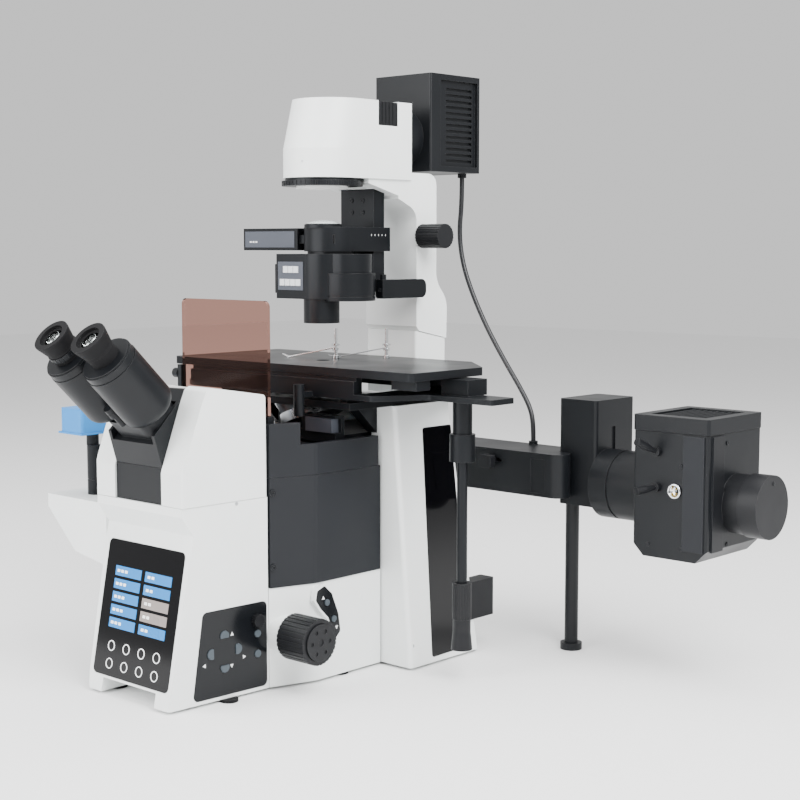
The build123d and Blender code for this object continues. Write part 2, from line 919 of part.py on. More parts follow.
def stage_clip(index):
    x, y, angle = clip_posts[index]
    rod = rod_z(x, y, clip_rod_radius, plate_top - 5.5, clip_rod_top)
    disc = rod_z(x, y, clip_disc_radius, clip_disc_z, clip_disc_z + 2)
    collar = rod_z(x, y, clip_disc_radius - 1.2, clip_disc_z - 6, clip_disc_z - 3)
    heel = rod_z(x, y, clip_disc_radius - 1, plate_top + running_gap, plate_top + 4)
    drop = clip_disc_z - 2 - (plate_top + 1.5)
    arm = prism_y([(0, clip_disc_z - 2), (0, clip_disc_z - 3.2), (clip_arm_length, clip_disc_z - 3.2 - drop),
                   (clip_arm_length + 8, clip_disc_z - 2 - drop + 3),
                   (clip_arm_length, clip_disc_z - 2 - drop)], -2.5, 2.5)
    arm = Pos(x, y, 0) * Rot(0, 0, angle) * arm
    return [rod + disc + collar + heel + arm]


# The nosepiece leans: its turning axis meets the optical axis below the shoulder
lean = math.radians(turret_tilt)
turret_apex_z = nose_center_z - turret_reach
turret_axis_place = Pos(0, 0, turret_apex_z) * Rot(0, -turret_tilt, 0)
turret_level = turret_reach * math.cos(lean)


def nosepiece():
    low = turret_level - turret_thickness
    disc = turret_axis_place * Pos(0, 0, turret_level - turret_thickness / 2) * Cylinder(
        turret_radius, turret_thickness)
    hub = turret_axis_place * Pos(0, 0, low - 4) * Cylinder(12, 8)
    body = disc + hub
    for index in range(turret_count):
        place = turret_axis_place * Rot(0, 0, 360 * index / turret_count) * Rot(0, turret_tilt, 0)
        shank = place * Pos(0, 0, turret_reach + 7) * Cylinder(objective_radius, 22)
        cone = loft([(place * Pos(0, 0, turret_reach + 18) * Circle(objective_radius)).face(),
                     (place * Pos(0, 0, turret_reach + objective_length) * Circle(5)).face()])
        body += shank
        body += cone
    return [body]


def nosepiece_carrier():
    low = turret_level - turret_thickness - running_gap
    slab = box(-carrier_half, slider_right - 8, slider_front_y + slider_depth - 8, 20, carrier_low,
               carrier_low + carrier_slab)
    slab -= turret_axis_place * Pos(0, 0, low + 50) * Cylinder(turret_radius + 5, 100)
    slab += box(-30, 40, 16, tower_recess_back - running_gap, frame_rear_top + 6, carrier_low + carrier_slab)
    boss = turret_axis_place * Pos(0, 0, low - 20) * Cylinder(18, 40)
    boss = boss & box(-far, far, -far, far, carrier_low, far)
    bore = turret_axis_place * Pos(0, 0, low - 4) * Cylinder(12 + shaft_gap, 8 + 2 * running_gap)
    block = box(slider_left - 8, 84, slider_front_y, slider_front_y + slider_depth,
                carrier_low, slider_high + 3)
    block -= box(slider_left - running_gap, far, slider_front_y - 1, slider_front_y + slider_depth - 5,
                 slider_low - running_gap, slider_high + running_gap)
    return [slab + boss + block - bore]


def nosepiece_slider():
    body = box(slider_left, slider_right, slider_front_y - 2, slider_front_y + slider_depth - 5 - running_gap,
               slider_low, slider_high)
    return [body]


def light_shield():
    plate = extrude(RectangleRounded(2 * shield_half, shield_high - shield_low, shield_round), shield_thickness)
    place = Pos(0, shield_y + shield_thickness / 2, (shield_high + shield_low) / 2) * Rot(90, 0, 0)
    return [place * plate]


def shield_holder():
    front = shield_y - shield_thickness / 2 - holder_wall
    back = shield_y + shield_thickness / 2 + holder_wall + 1
    half = shield_half + 2
    bar = box(-half, half, front, back, frame_top, holder_top)
    bar -= box(-shield_half - running_gap, shield_half + running_gap, shield_y - shield_thickness / 2 - groove_gap,
               shield_y + shield_thickness / 2 + groove_gap, shield_low, far)
    post = box(-half - holder_post, -half + 1, front, back, cover_front_top, shield_knob_z + 10)
    knob = rod_x(shield_y, shield_knob_z, 5.5, -half - holder_post - 8, -half - holder_post)
    return [bar + post + knob]


def illumination_column():
    base_front = seam_front_z + seam
    base_back = seam_back_z + seam
    spine = prism_x([(pillar_front_y, base_front + 5), (pillar_front_y + 5, base_front - 0.6),
                     (pillar_back_y, base_back), (pillar_back_y + 1, 413), (arch_back_y, 437),
                     (arch_back_y, shoulder_z), (head_back_y - 20, shoulder_z), (head_back_y - 20, neck_low_z),
                     (pillar_front_y, 521)],
                    -lock_boss_x, lock_boss_x, (0, 0, 0, 30, 30, 14, 0, 0, 20))
    neck = prism_x([(34, 551.7), (98, neck_low_z), (110, 528), (110, shoulder_z), (34, shoulder_z)],
                   -lock_boss_x, lock_boss_x)
    neck -= rod_z(0, 0, field_radius + 1, 0, head_low)
    front_low = head_outline(0, head_low)
    lower = extrude(front_low, amount=head_crease - head_low, dir=(0, 0, 1))
    upper = loft([head_outline(0, head_crease), head_outline(head_lean, head_top)], ruled=True)
    body = spine + neck + lower + upper
    body -= box(-carrier_block_half - 2, carrier_block_half + 2, carrier_block_front_y - 2,
                carrier_block_back_y + 2, 500, carrier_block_top + 13)
    body -= box(cassette_inner_x - running_gap, far, cassette_front_y - running_gap,
                cassette_back_y + running_gap, cassette_low - running_gap, far + far)
    body += rod_z(0, 0, lens_boss_radius, lens_boss_low, head_low + 1)
    for x in (-guide_x, guide_x):
        body += rod_z(x, guide_y, guide_radius, guide_low, carrier_block_top + 14)
    body -= rod_x(condenser_knob_y, condenser_knob_z, condenser_shaft_radius + shaft_gap, 20, far)
    for room in both_sides(tilt_rod(running_gap, tilt_pin_half - running_gap, tilt_ear_end + running_gap)):
        body -= room
    pin_end = tilt_pin_half - running_gap
    return [body + tilt_rod(0, -pin_end, pin_end)]


def head_outline(shift, z):
    """The head's plan: a half-round front and straight sides."""
    r = head_radius
    left = Line((-r, head_back_y, z), (-r, shift, z))
    arc = ThreePointArc((-r, shift, z), (0, shift - r, z), (r, shift, z))
    right = Line((r, shift, z), (r, head_back_y, z))
    back = Line((r, head_back_y, z), (-r, head_back_y, z))
    return make_face([left, arc, right, back]).face()


def field_ring():
    ring = rod_z(0, 0, field_radius, field_low, field_low + 6)
    ring = ribbed(ring, Pos(0, 0, field_low + 3), field_radius, 48, 7, 2, 0.8)
    ring += rod_z(0, 0, field_radius - 4, field_low + 6, head_low - running_gap)
    return [ring - rod_z(0, 0, lens_boss_radius + shaft_gap, 0, far * 2)]


def filter_cassette():
    body = box(cassette_inner_x, head_radius, cassette_front_y, cassette_back_y, cassette_low, head_top - 1)
    grooves = [box(head_radius - 1, head_radius + 1, y, y + 3, cassette_low - 1, head_top)
               for y in range(cassette_front_y + 4, cassette_back_y - 4, 6)]
    return [body - grooves]


def top_lamp_house():
    body = box(-lamp_half, lamp_half, lamp_front_y, lamp_back_y, lamp_low, lamp_high)
    body = fillet(body.edges().filter_by(Axis.Z), 3)
    front = lamp_front_y + 18
    back = lamp_back_y - 6
    recess = box(lamp_half - louvre_recess, far, front, back, lamp_low + 7, lamp_high - 7)
    pitch = (lamp_high - lamp_low - 24) / louvre_count
    slots = []
    for index in range(louvre_count):
        z = lamp_low + 12 + index * pitch
        slots.append(box(lamp_half - louvre_recess - 3, far, front + 14, back - 6, z, z + pitch / 2))
    for cut in [recess] + slots:
        body -= cut
        body -= mirror(cut, Plane.YZ)
    collar = rod_y(0, lamp_collar_z, lamp_collar_radius, head_back_y, lamp_front_y + 1)
    x, y, z = cable_route[0]
    gland = rod_z(x, y, gland_radius, z, lamp_low + 1)
    return [body + collar + gland]


def condenser_carrier():
    half = carrier_block_half
    block = box(-half, half, carrier_block_front_y, carrier_block_back_y, carrier_block_low, carrier_block_top)
    for x in (-guide_x, guide_x):
        block -= rod_z(x, guide_y, guide_radius + shaft_gap, guide_low - 12, far * 2)
    bridge = box(half - 1, side_arm_outer, 62, carrier_block_back_y, side_arm_low, side_arm_high)
    arm = box(side_arm_inner, side_arm_outer, side_arm_front_y, side_arm_back_y, side_arm_low, side_arm_high)
    arm = fillet(arm.edges().filter_by(Axis.X).group_by(Axis.Y)[-1], 8)
    stud = rod_z(side_arm_outer - 5, 50, 3.5, side_arm_high - 1, side_arm_high + 6)
    return [block + bridge + arm + stud]


def condenser_body():
    half = carrier_block_half + running_gap
    drum = rod_z(0, drum_y, drum_radius, drum_low, drum_high)
    drum += box(-drum_radius, drum_radius, drum_y, drum_tail_y, drum_low, drum_high)
    drum -= box(-half, half, carrier_block_front_y, far, drum_low - 1, drum_high + 1)
    middle = (slide_bar_low + slide_bar_high) / 2
    tongue = tongue_thickness / 2 + running_gap
    drum -= box(-far, tongue_end + 3, slide_bar_front_y + 4 - running_gap, slide_bar_back_y - 6 + running_gap,
                middle - tongue, middle + tongue)
    lower = box(housing_left, 0, housing_front_y, carrier_block_front_y, housing_low, housing_high)
    lower = fillet(lower.edges().filter_by(Axis.Z), 3)
    lower += rod_z(0, phase_y - 9, housing_radius, housing_low, housing_high)
    lower += box(0, carrier_block_half, 30, carrier_block_front_y, housing_low, housing_high)
    lower += box(flange_left, housing_left + 2, housing_front_y + 6, 20, housing_low + 6, 458)
    lower -= rod_z(phase_x, phase_y, phase_radius + running_gap, 0, phase_high + running_gap)
    scale = rod_z(phase_x, phase_y, phase_radius - 4, phase_high + running_gap, housing_high)
    joining = rod_z(0, drum_y, drum_radius - 4, housing_high - 1, drum_low + 1)
    tube = rod_z(0, nose_tube_y, nose_tube_radius, nose_tube_low, housing_low + 1)
    tube -= rod_z(phase_x, phase_y, phase_radius + running_gap, phase_low - running_gap, far * 2)
    tube -= rod_z(0, nose_tube_y, nose_tube_radius - 5, 0, nose_tube_low + 3)
    dome = rod_z(0, 1, dome_radius, drum_high - 1, drum_high + 3)
    dome += Pos(0, 1, drum_high + 3) * scaled_dome()
    return [drum + lower + scale + joining + tube + dome]


def scaled_dome():
    """A shallow glass cap: the top of a large sphere."""
    sphere_radius = (dome_radius ** 2 + (dome_rise - 3) ** 2) / (2 * (dome_rise - 3))
    sphere = Pos(0, 0, dome_rise - 3 - sphere_radius) * Sphere(sphere_radius)
    return sphere & Pos(0, 0, 10) * Box(2 * far, 2 * far, 20)


def condenser_turret():
    body = rod_z(phase_x, phase_y, phase_radius, phase_low, phase_high)
    groove = rod_z(phase_x, phase_y, phase_radius + 1, phase_low + 5, phase_low + 6)
    groove -= rod_z(phase_x, phase_y, phase_radius - 1, phase_low, phase_high)
    return [body - groove]


def condenser_slider():
    end = -drum_radius - 1
    body = box(slide_bar_left, end, slide_bar_front_y, slide_bar_back_y, slide_bar_low, slide_bar_high)
    middle = (slide_bar_low + slide_bar_high) / 2
    tongue = box(end - 1, tongue_end, slide_bar_front_y + 4, slide_bar_back_y - 6,
                 middle - tongue_thickness / 2, middle + tongue_thickness / 2)
    return [body + tongue]


def condenser_knob():
    start = condenser_boss_x
    length = condenser_knob_x - start
    middle = Pos(start + length / 2, condenser_knob_y, condenser_knob_z) * Rot(0, 90, 0)
    knob = middle * Cylinder(condenser_knob_radius, length)
    knob = ribbed(knob, middle, condenser_knob_radius, 24, length + 1, 1.2, 0.7)
    boss = rod_x(condenser_knob_y, condenser_knob_z, condenser_boss_radius, lock_boss_x + running_gap, start + 1)
    shaft = rod_x(condenser_knob_y, condenser_knob_z, condenser_shaft_radius, 21, start + 1)
    return [knob + boss + shaft]


def epi_arm():
    back_part = box(column_half, box_left - seam, arm_front_y, arm_back_y, arm_low, arm_high)
    plan = [(column_half, arm_front_y), (arm_end, arm_front_y), (arm_end, box_front_y - seam),
            (column_half, box_front_y - seam)]
    front = prism_z(plan, arm_low, arm_high, (0, 14, 14, 0))
    body = back_part + front
    body -= box(lever_x - 15, lever_x + 15, arm_front_y - 1, arm_front_y + 6, lever_z - 2.5, lever_z + 2.5)
    body -= box(190, 211, arm_front_y - 1, arm_front_y + 1, arm_low + 4, arm_high - 7)
    x, y, z = cable_route[-1]
    body += rod_z(x, y, gland_radius, arm_high - 1, z)
    return [body]


def arm_lever():
    stem = box(lever_x - 5, lever_x + 5, arm_front_y - 6, arm_front_y + 5.6, lever_z - 2.5 + running_gap,
               lever_z + 2.5 - running_gap)
    grip = box(lever_x - 9, lever_x + 9, arm_front_y - 14, arm_front_y - 5, lever_z - 9, lever_z + 6)
    return [stem + fillet(grip.edges().filter_by(Axis.Y), 2)]


def epi_coupler():
    body = box(box_left, box_right, box_front_y, box_back_y, box_low, box_high)
    body = fillet(body.edges().filter_by(Axis.Z), 4)
    body -= box(box_right - 2, far, coupler_y + 6, coupler_y + 14, 240, 270)
    collar = rod_x(coupler_y, coupler_z, coupler_radius, box_right, house_left)
    groove = rod_x(coupler_y, coupler_z, coupler_radius + 1, box_right + 24, box_right + 27)
    groove -= rod_x(coupler_y, coupler_z, coupler_radius - 1.5, box_right, house_left)
    return [body, collar - groove]


def lamp_house():
    body = box(house_left, house_right, house_front_y, house_back_y, house_low, lid_z - seam)
    low_edges = body.edges().filter_by(Axis.Y).group_by(Axis.Z)[0]
    body = chamfer(low_edges, 14)
    body = fillet(body.edges().filter_by(Axis.Z), 3)
    lid = box(house_left - 1, house_right + 1, house_front_y - 1, house_back_y + 1, lid_z, house_high)
    lid = fillet(lid.edges().filter_by(Axis.Z), 4)
    opening = box(house_left + 12, house_right - 12, house_front_y + 14, house_back_y - 14, house_high - 7, far)
    lid -= opening
    width = (house_right - house_left - 24) / fin_count
    for index in range(fin_count):
        x = house_left + 12 + (index + 0.5) * width
        fin = Pos(x, (house_front_y + house_back_y) / 2, house_high - 5) * Rot(0, 35, 0) * Box(
            1.6, house_back_y - house_front_y - 27, 8)
        lid += fin & box(-far, far * 2, -far, far, lid_z + 2, house_high)
    strip_low = house_low + 12
    strip_high = lid_z - 2
    body += box(house_right - 30, house_right - 4, house_front_y - 2, house_front_y + 1, strip_low, strip_high)
    body += box(house_right - 1, house_right + 2, house_front_y + 8, house_front_y + 30, strip_low, strip_high)
    for z in lever_stub_zs:
        body -= rod_y(lever_stub_x, z, lever_pin_radius + shaft_gap, 0, house_front_y + lever_pin_depth)
    socket = rod_y(socket_x, socket_z, 8, house_front_y - 3, house_front_y)
    socket -= rod_y(socket_x, socket_z, 6, house_front_y - 4, house_front_y - 1)
    flange = rod_x(coupler_y, flange_z, flange_radius - 2, house_right, flange_step_x)
    flange += rod_x(coupler_y, flange_z, flange_radius, flange_step_x, flange_end_x)
    return [body, lid, socket, flange]


def lamp_lever(index):
    z = lever_stub_zs[index]
    front = house_front_y - running_gap
    pin = rod_y(lever_stub_x, z, lever_pin_radius, front - 4, house_front_y + lever_pin_depth - 1)
    collar = rod_y(lever_stub_x, z, lever_stub_radius, front - 5, front)
    start = Vector(lever_stub_x, front - 3, z)
    reach = Vector(*lever_leans[index])
    place = Plane(origin=start, x_dir=(1, 0, 0), z_dir=reach).location
    stem = loft([(place * Circle(2.4)).face(), (place * Pos(0, 0, 0.55 * reach.length) * Circle(4.4)).face()])
    grip = place * Pos(0, 0, 0.55 * reach.length)
    grip = grip * Pos(0, 0, 0.225 * reach.length) * Cylinder(4.4, 0.45 * reach.length)
    return [pin + collar + stem + grip]


def support_leg():
    leg = rod_z(leg_x, leg_y, leg_radius, leg_foot_height, box_low)
    foot = rod_z(leg_x, leg_y, leg_foot_radius, 0, leg_foot_height)
    return [leg, foot]


def side_shelf():
    points = [(shelf_inner, shelf_top), (shelf_outer, shelf_top), (shelf_outer, shelf_edge_low),
              (-130, 140), (shelf_inner, shelf_root_low)]
    return [prism_y(points, shelf_front_y, shelf_back_y) - console_block()]


def side_camera():
    port = rod_z(port_x, port_y, port_radius, shelf_top, port_top)
    groove = rod_z(port_x, port_y, port_radius + 1, shelf_top + 17, shelf_top + 18)
    groove -= rod_z(port_x, port_y, port_radius - 0.8, shelf_top, port_top)
    x = (camera_left + camera_right) / 2
    adapter = rod_z(x + 8, port_y, 7, port_top, camera_low)
    housing = box(camera_left + 2, camera_right - 2, port_y - camera_half_depth, port_y + camera_half_depth,
                  camera_low + 2, camera_high - 2)
    housing = fillet(housing.edges().filter_by(Axis.Z), 5)
    ends = box(camera_left, camera_right, port_y - camera_half_depth - 1, port_y + camera_half_depth + 1,
               camera_low, camera_low + 2)
    return [port - groove + adapter, housing, ends]


def rear_box():
    body = box(socket_box_left, socket_box_right, socket_box_front_y, socket_box_back_y,
               socket_box_low, socket_box_high)
    return [fillet(body.edges().filter_by(Axis.Z), 2) - tower_block(0)]


def cable_radii():
    radii = []
    for before, here, after in zip(cable_route, cable_route[1:], cable_route[2:]):
        first = Vector(*here) - Vector(*before)
        second = Vector(*after) - Vector(*here)
        half_turn = math.radians(first.get_angle(second)) / 2
        radii.append(0.45 * min(first.length, second.length) / math.tan(half_turn))
    return radii


def lamp_cable():
    radii = cable_radii()
    path = FilletPolyline(*cable_route, radius=radii)
    section = Plane(origin=path @ 0, z_dir=path % 0) * Circle(cable_radius)
    cable = sweep(section, path=path)
    print("cable radii", [round(r) for r in radii], "length", round(path.length, 1))
    print("cable volume ratio", round(cable.volume / (math.pi * cable_radius ** 2 * path.length), 4))
    return [cable]


nodes = {
    "console_shell": console_shell(),
    "mid_body_shell": mid_body_shell(),
    "tower_shell": tower_shell(),
    "body_frame": body_frame(),
    "side_covers": side_covers(),
    "upper_shell": upper_shell(),
    "tube_bracket": tube_bracket(),
    "screen_panel": screen_panel(),
    "control_panel": control_panel(),
    "light_dial": light_dial(),
    "upper_round_button": round_button(0),
    "lower_round_button": round_button(1),
    "button_pod": button_pod(),
    "upper_pod_button": pod_button(0),
    "lower_pod_button": pod_button(1),
    "rubber_feet": rubber_feet(),
    "left_barrel": barrel(-eye_half),
    "right_barrel": barrel(eye_half),
    "left_eyepiece": eyepiece(-eye_half),
    "right_eyepiece": eyepiece(eye_half),
    "diopter_ring": diopter_ring(),
    "coarse_knobs": coarse_knobs(),
    "fine_knobs": fine_knobs(),
    "stage_bed": stage_bed(),
    "y_carriage": y_carriage(),
    "y_knob": y_knob(),
    "x_knob": x_knob(),
    "x_plate": x_plate(),
    "stage_insert": stage_insert(),
    "front_clip": stage_clip(0),
    "rear_clip": stage_clip(1),
    "nosepiece": nosepiece(),
    "nosepiece_carrier": nosepiece_carrier(),
    "nosepiece_slider": nosepiece_slider(),
    "light_shield": light_shield(),
    "shield_holder": shield_holder(),
    "illumination_column": illumination_column(),
    "field_ring": field_ring(),
    "filter_cassette": filter_cassette(),
    "top_lamp_house": top_lamp_house(),
    "condenser_carrier": condenser_carrier(),
    "condenser_body": condenser_body(),
    "condenser_turret": condenser_turret(),
    "condenser_slider": condenser_slider(),
    "condenser_knob": condenser_knob(),
    "epi_arm": epi_arm(),
    "arm_lever": arm_lever(),
    "epi_coupler": epi_coupler(),
    "lamp_house": lamp_house(),
    "upper_lamp_lever": lamp_lever(0),
    "lower_lamp_lever": lamp_lever(1),
    "support_leg": support_leg(),
    "side_shelf": side_shelf(),
    "side_camera": side_camera(),
    "rear_box": rear_box(),
    "lamp_cable": lamp_cable(),
}
for button in arrow_turns:
    nodes[button] = arrow_button(button)


def plan_center(shapes):
    boxes = [shape.bounding_box() for shape in shapes]
    x = (min(b.min.X for b in boxes) + max(b.max.X for b in boxes)) / 2
    y = (min(b.min.Y for b in boxes) + max(b.max.Y for b in boxes)) / 2
    return x, y


rigid = [shape for name, shapes in nodes.items() if name != "lamp_cable" for shape in shapes]
center_x, center_y = plan_center(rigid)
print("optical axis at", round(-center_x, 4), round(-center_y, 4))
for name, shapes in nodes.items():
    solids = [solid for shape in shapes for solid in shape.solids()]
    whole = Compound(solids).moved(Location((-center_x, -center_y, 0)))
    export_step(whole, f"parts/{name}.step")
print(len(nodes), "nodes")
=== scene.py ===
import bpy
import bmesh
import math
from mathutils import Matrix, Vector


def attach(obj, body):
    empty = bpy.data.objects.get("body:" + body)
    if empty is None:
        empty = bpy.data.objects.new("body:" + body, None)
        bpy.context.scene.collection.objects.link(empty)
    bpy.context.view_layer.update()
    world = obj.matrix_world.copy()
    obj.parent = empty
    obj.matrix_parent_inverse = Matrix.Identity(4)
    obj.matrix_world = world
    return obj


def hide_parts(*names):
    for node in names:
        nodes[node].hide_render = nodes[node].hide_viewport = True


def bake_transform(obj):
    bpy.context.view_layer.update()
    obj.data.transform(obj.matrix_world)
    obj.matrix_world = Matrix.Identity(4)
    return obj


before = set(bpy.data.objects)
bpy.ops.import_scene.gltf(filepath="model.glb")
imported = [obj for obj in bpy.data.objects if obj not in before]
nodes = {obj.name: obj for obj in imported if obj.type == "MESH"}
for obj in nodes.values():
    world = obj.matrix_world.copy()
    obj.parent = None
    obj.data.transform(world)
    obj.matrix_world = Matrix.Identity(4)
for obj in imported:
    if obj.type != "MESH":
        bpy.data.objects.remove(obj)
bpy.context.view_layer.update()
collection = bpy.context.scene.collection
print("frame loaded:", len(nodes), "nodes")

# sizes below are in mm from the optical axis, which stands here in the row frame
opticalAxis = {"x": -145.0, "y": 56.0711}


def spot(x, y, z):
    return Vector(((x + opticalAxis["x"]) / 1000, (y + opticalAxis["y"]) / 1000, z / 1000))


# the camera stands right of and in front of the stand, a little above the stage
cameraView = {"place": (1276.2, -1255.6, 480.0), "turn": 42.58, "pitch": 5.78, "lens": 68.76, "sensor": 36,
              "nearClip": 0.05}
cameraData = bpy.data.cameras.new("viewCamera")
cameraData.lens = cameraView["lens"]
cameraData.sensor_width = cameraView["sensor"]
cameraData.clip_start = cameraView["nearClip"]
camera = bpy.data.objects.new("viewCamera", cameraData)
camera.location = spot(*cameraView["place"])
camera.rotation_euler = (math.radians(90 - cameraView["pitch"]), 0, math.radians(cameraView["turn"]))
collection.objects.link(camera)
bpy.context.scene.camera = camera


def addObject(name, mesh):
    piece = bpy.data.objects.new(name, mesh)
    collection.objects.link(piece)
    return piece


# a piece of its own that rides on a body of the record
def addPiece(name, mesh, body):
    piece = addObject(name, mesh)
    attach(piece, body)


# the same from what bmesh has built, with its normals made to point outwards
def addBuilt(name, build, finish, body, smooth):
    mesh = bpy.data.meshes.new(name)
    bmesh.ops.recalc_face_normals(build, faces=build.faces)
    build.to_mesh(mesh)
    build.free()
    for face in mesh.polygons:
        face.use_smooth = smooth
    mesh.materials.append(finish)
    addPiece(name, mesh, body)


# an sRGB hex colour as the linear values that Blender wants
def linear(hexColour):
    values = [int(hexColour[i:i + 2], 16) / 255 for i in (1, 3, 5)]
    return tuple(v / 12.92 if v <= 0.04045 else ((v + 0.055) / 1.055) ** 2.4 for v in values) + (1.0,)


def addNode(tree, kind, settings=None, inputs=None, links=None):
    node = tree.nodes.new(kind)
    for key, value in (settings or {}).items():
        setattr(node, key, value)
    for key, value in (inputs or {}).items():
        node.inputs[key].default_value = value
    for key, source in (links or {}).items():
        tree.links.new(source, node.inputs[key])
    return node


# what all finishes share: how fine the noise is, how far gloss drifts, and where and how bright a painted
# highlight falls along edges
surface = {"driftDetail": 3.0, "grainDetail": 2.0, "noiseBand": (0.3, 0.7), "glossDrift": 0.12,
           "edgeSamples": 4, "highlightFacing": 0.8, "highlightTone": 0.5, "coatRoughness": 0.08}


def socketsOf(sockets, kind):
    return [socket for socket in sockets if socket.type == kind]


# every finish: colour, a faint drift of tone, a painted highlight along edges, roughness with its own drift,
# and grain as bump
def makeFinish(name, colour, roughness, grainMm, grainDepthMm, metallic=0.0, ior=1.5, coat=0.0,
               toneDrift=0.04, driftMm=60, edgeMm=0.5, edgeHighlight=0.06):
    material = bpy.data.materials.new(name)
    material.use_nodes = True
    tree = material.node_tree
    tree.nodes.clear()
    where = addNode(tree, "ShaderNodeTexCoord").outputs["Object"]
    drift = addNode(tree, "ShaderNodeTexNoise", links={"Vector": where},
                    inputs={"Scale": 1000 / driftMm, "Detail": surface["driftDetail"]})
    grain = addNode(tree, "ShaderNodeTexNoise", links={"Vector": where},
                    inputs={"Scale": 1000 / grainMm, "Detail": surface["grainDetail"]})
    base = linear(colour)
    low = tuple(max(0.0, c * (1 - toneDrift)) for c in base[:3]) + (1.0,)
    high = tuple(min(1.0, c * (1 + toneDrift)) for c in base[:3]) + (1.0,)
    tone = addNode(tree, "ShaderNodeMix", {"data_type": "RGBA"}, links={"Factor": drift.outputs["Fac"]})
    darker, lighter = socketsOf(tone.inputs, "RGBA")
    darker.default_value = low
    lighter.default_value = high
    rounded = addNode(tree, "ShaderNodeBevel", {"samples": surface["edgeSamples"]}, {"Radius": edgeMm / 1000})
    flat = addNode(tree, "ShaderNodeNewGeometry").outputs["Normal"]
    # painted highlight: where the rounded normal turns away from the flat one, near edges, a light grey is
    # added to the colour
    edge = addNode(tree, "ShaderNodeVectorMath", {"operation": "DOT_PRODUCT"},
                   links={0: rounded.outputs["Normal"], 1: flat})
    edgeHighlightMask = addNode(tree, "ShaderNodeMapRange", links={"Value": edge.outputs["Value"]},
                   inputs={"From Min": 1.0, "From Max": surface["highlightFacing"], "To Min": 0.0,
                           "To Max": edgeHighlight})
    withEdgeHighlight = addNode(tree, "ShaderNodeMix", {"data_type": "RGBA", "blend_type": "ADD"},
                     links={"Factor": edgeHighlightMask.outputs["Result"]})
    plain, highlightColour = socketsOf(withEdgeHighlight.inputs, "RGBA")
    tree.links.new(socketsOf(tone.outputs, "RGBA")[0], plain)
    highlightColour.default_value = (surface["highlightTone"],) * 3 + (1.0,)
    gloss = addNode(tree, "ShaderNodeMapRange", links={"Value": drift.outputs["Fac"]},
                    inputs={"From Min": surface["noiseBand"][0], "From Max": surface["noiseBand"][1],
                            "To Min": roughness * (1 - surface["glossDrift"]),
                            "To Max": min(1.0, roughness * (1 + surface["glossDrift"]))})
    bump = addNode(tree, "ShaderNodeBump", inputs={"Strength": 1.0, "Distance": grainDepthMm / 1000},
                   links={"Height": grain.outputs["Fac"], "Normal": rounded.outputs["Normal"]})
    shader = addNode(tree, "ShaderNodeBsdfPrincipled",
                     inputs={"Metallic": metallic, "IOR": ior, "Coat Weight": coat,
                             "Coat Roughness": surface["coatRoughness"]},
                     links={"Base Color": socketsOf(withEdgeHighlight.outputs, "RGBA")[0],
                            "Roughness": gloss.outputs["Result"], "Normal": bump.outputs["Normal"]})
    addNode(tree, "ShaderNodeOutputMaterial", links={"Surface": shader.outputs["BSDF"]})
    return material


# satin enamel sprayed on cast aluminium: soft highlights over faint orange peel of 2 mm
paintedWhite = makeFinish("whiteEnamelSprayed", "#EBEEED", roughness=0.36, grainMm=2.0, grainDepthMm=0.010)
# the same enamel on moulded ABS, a touch duller
mouldedWhite = makeFinish("whiteAbsPainted", "#EAEDEC", roughness=0.42, grainMm=1.6, grainDepthMm=0.010)
# dark grey moulded ABS with a fine spark texture, drawn at 0.9 mm so that it shows
mouldedDark = makeFinish("darkAbsSparkTexture", "#17191D", roughness=0.46, grainMm=0.9, grainDepthMm=0.02,
                         ior=1.33, toneDrift=0.10)
# black powder coat on steel sheet, slightly pebbled
coatedBlack = makeFinish("blackPowderCoat", "#0F1114", roughness=0.40, grainMm=1.1, grainDepthMm=0.02,
                         ior=1.33, toneDrift=0.10)
# black anodised aluminium, turned or milled: deep black with a silky sheen
anodisedBlack = makeFinish("blackAnodisedAluminium", "#16181B", roughness=0.34, grainMm=0.8,
                           grainDepthMm=0.006, metallic=0.35, ior=1.33, toneDrift=0.08, edgeHighlight=0.12)
# matt black nylon of knobs and small housings, its moulded grain just seen
nylonBlack = makeFinish("blackNylonMoulded", "#101114", roughness=0.45, grainMm=1.0, grainDepthMm=0.015,
                        ior=1.35, toneDrift=0.12)
# smooth black acrylic window over the display and in the tower's sides: mirror-like and nearly flat
acrylicBlack = makeFinish("blackAcrylicPolished", "#050507", roughness=0.07, grainMm=30.0,
                          grainDepthMm=0.002, ior=1.33, edgeHighlight=0.02)
# printed acrylic under the keys: glossy, dulled a little by fingers
inlayBlack = makeFinish("blackInlayGloss", "#0E1013", roughness=0.16, grainMm=30.0, grainDepthMm=0.002,
                        ior=1.33, edgeHighlight=0.03)
# moulded rubber: no shine, fine dusty grain
rubberBlack = makeFinish("blackRubberMoulded", "#0D0D0F", roughness=0.7, grainMm=0.8, grainDepthMm=0.03,
                         ior=1.3)
# extruded PVC sheath of the cable: black, softly glossy along its length
pvcBlack = makeFinish("blackPvcCable", "#131418", roughness=0.38, grainMm=3.0, grainDepthMm=0.02)
# chrome plate on polished brass: mirror bright
chromeBright = makeFinish("chromePlated", "#DADCDE", roughness=0.12, grainMm=5.0, grainDepthMm=0.001,
                          metallic=1.0, toneDrift=0.02)
# turned stainless steel: bright, with a brushed softness
steelBrushed = makeFinish("stainlessTurned", "#B9BBBE", roughness=0.28, grainMm=0.5, grainDepthMm=0.004,
                          metallic=1.0)
# moulded silicone keys: grey, soft and almost without shine
keyGrey = makeFinish("greySiliconeKey", "#3A434A", roughness=0.55, grainMm=1.5, grainDepthMm=0.01)
# keys pressed in a polyester membrane: off-white, faintly satin
keyWhite = makeFinish("whiteMembraneKey", "#D9DDE0", roughness=0.5, grainMm=1.5, grainDepthMm=0.01)
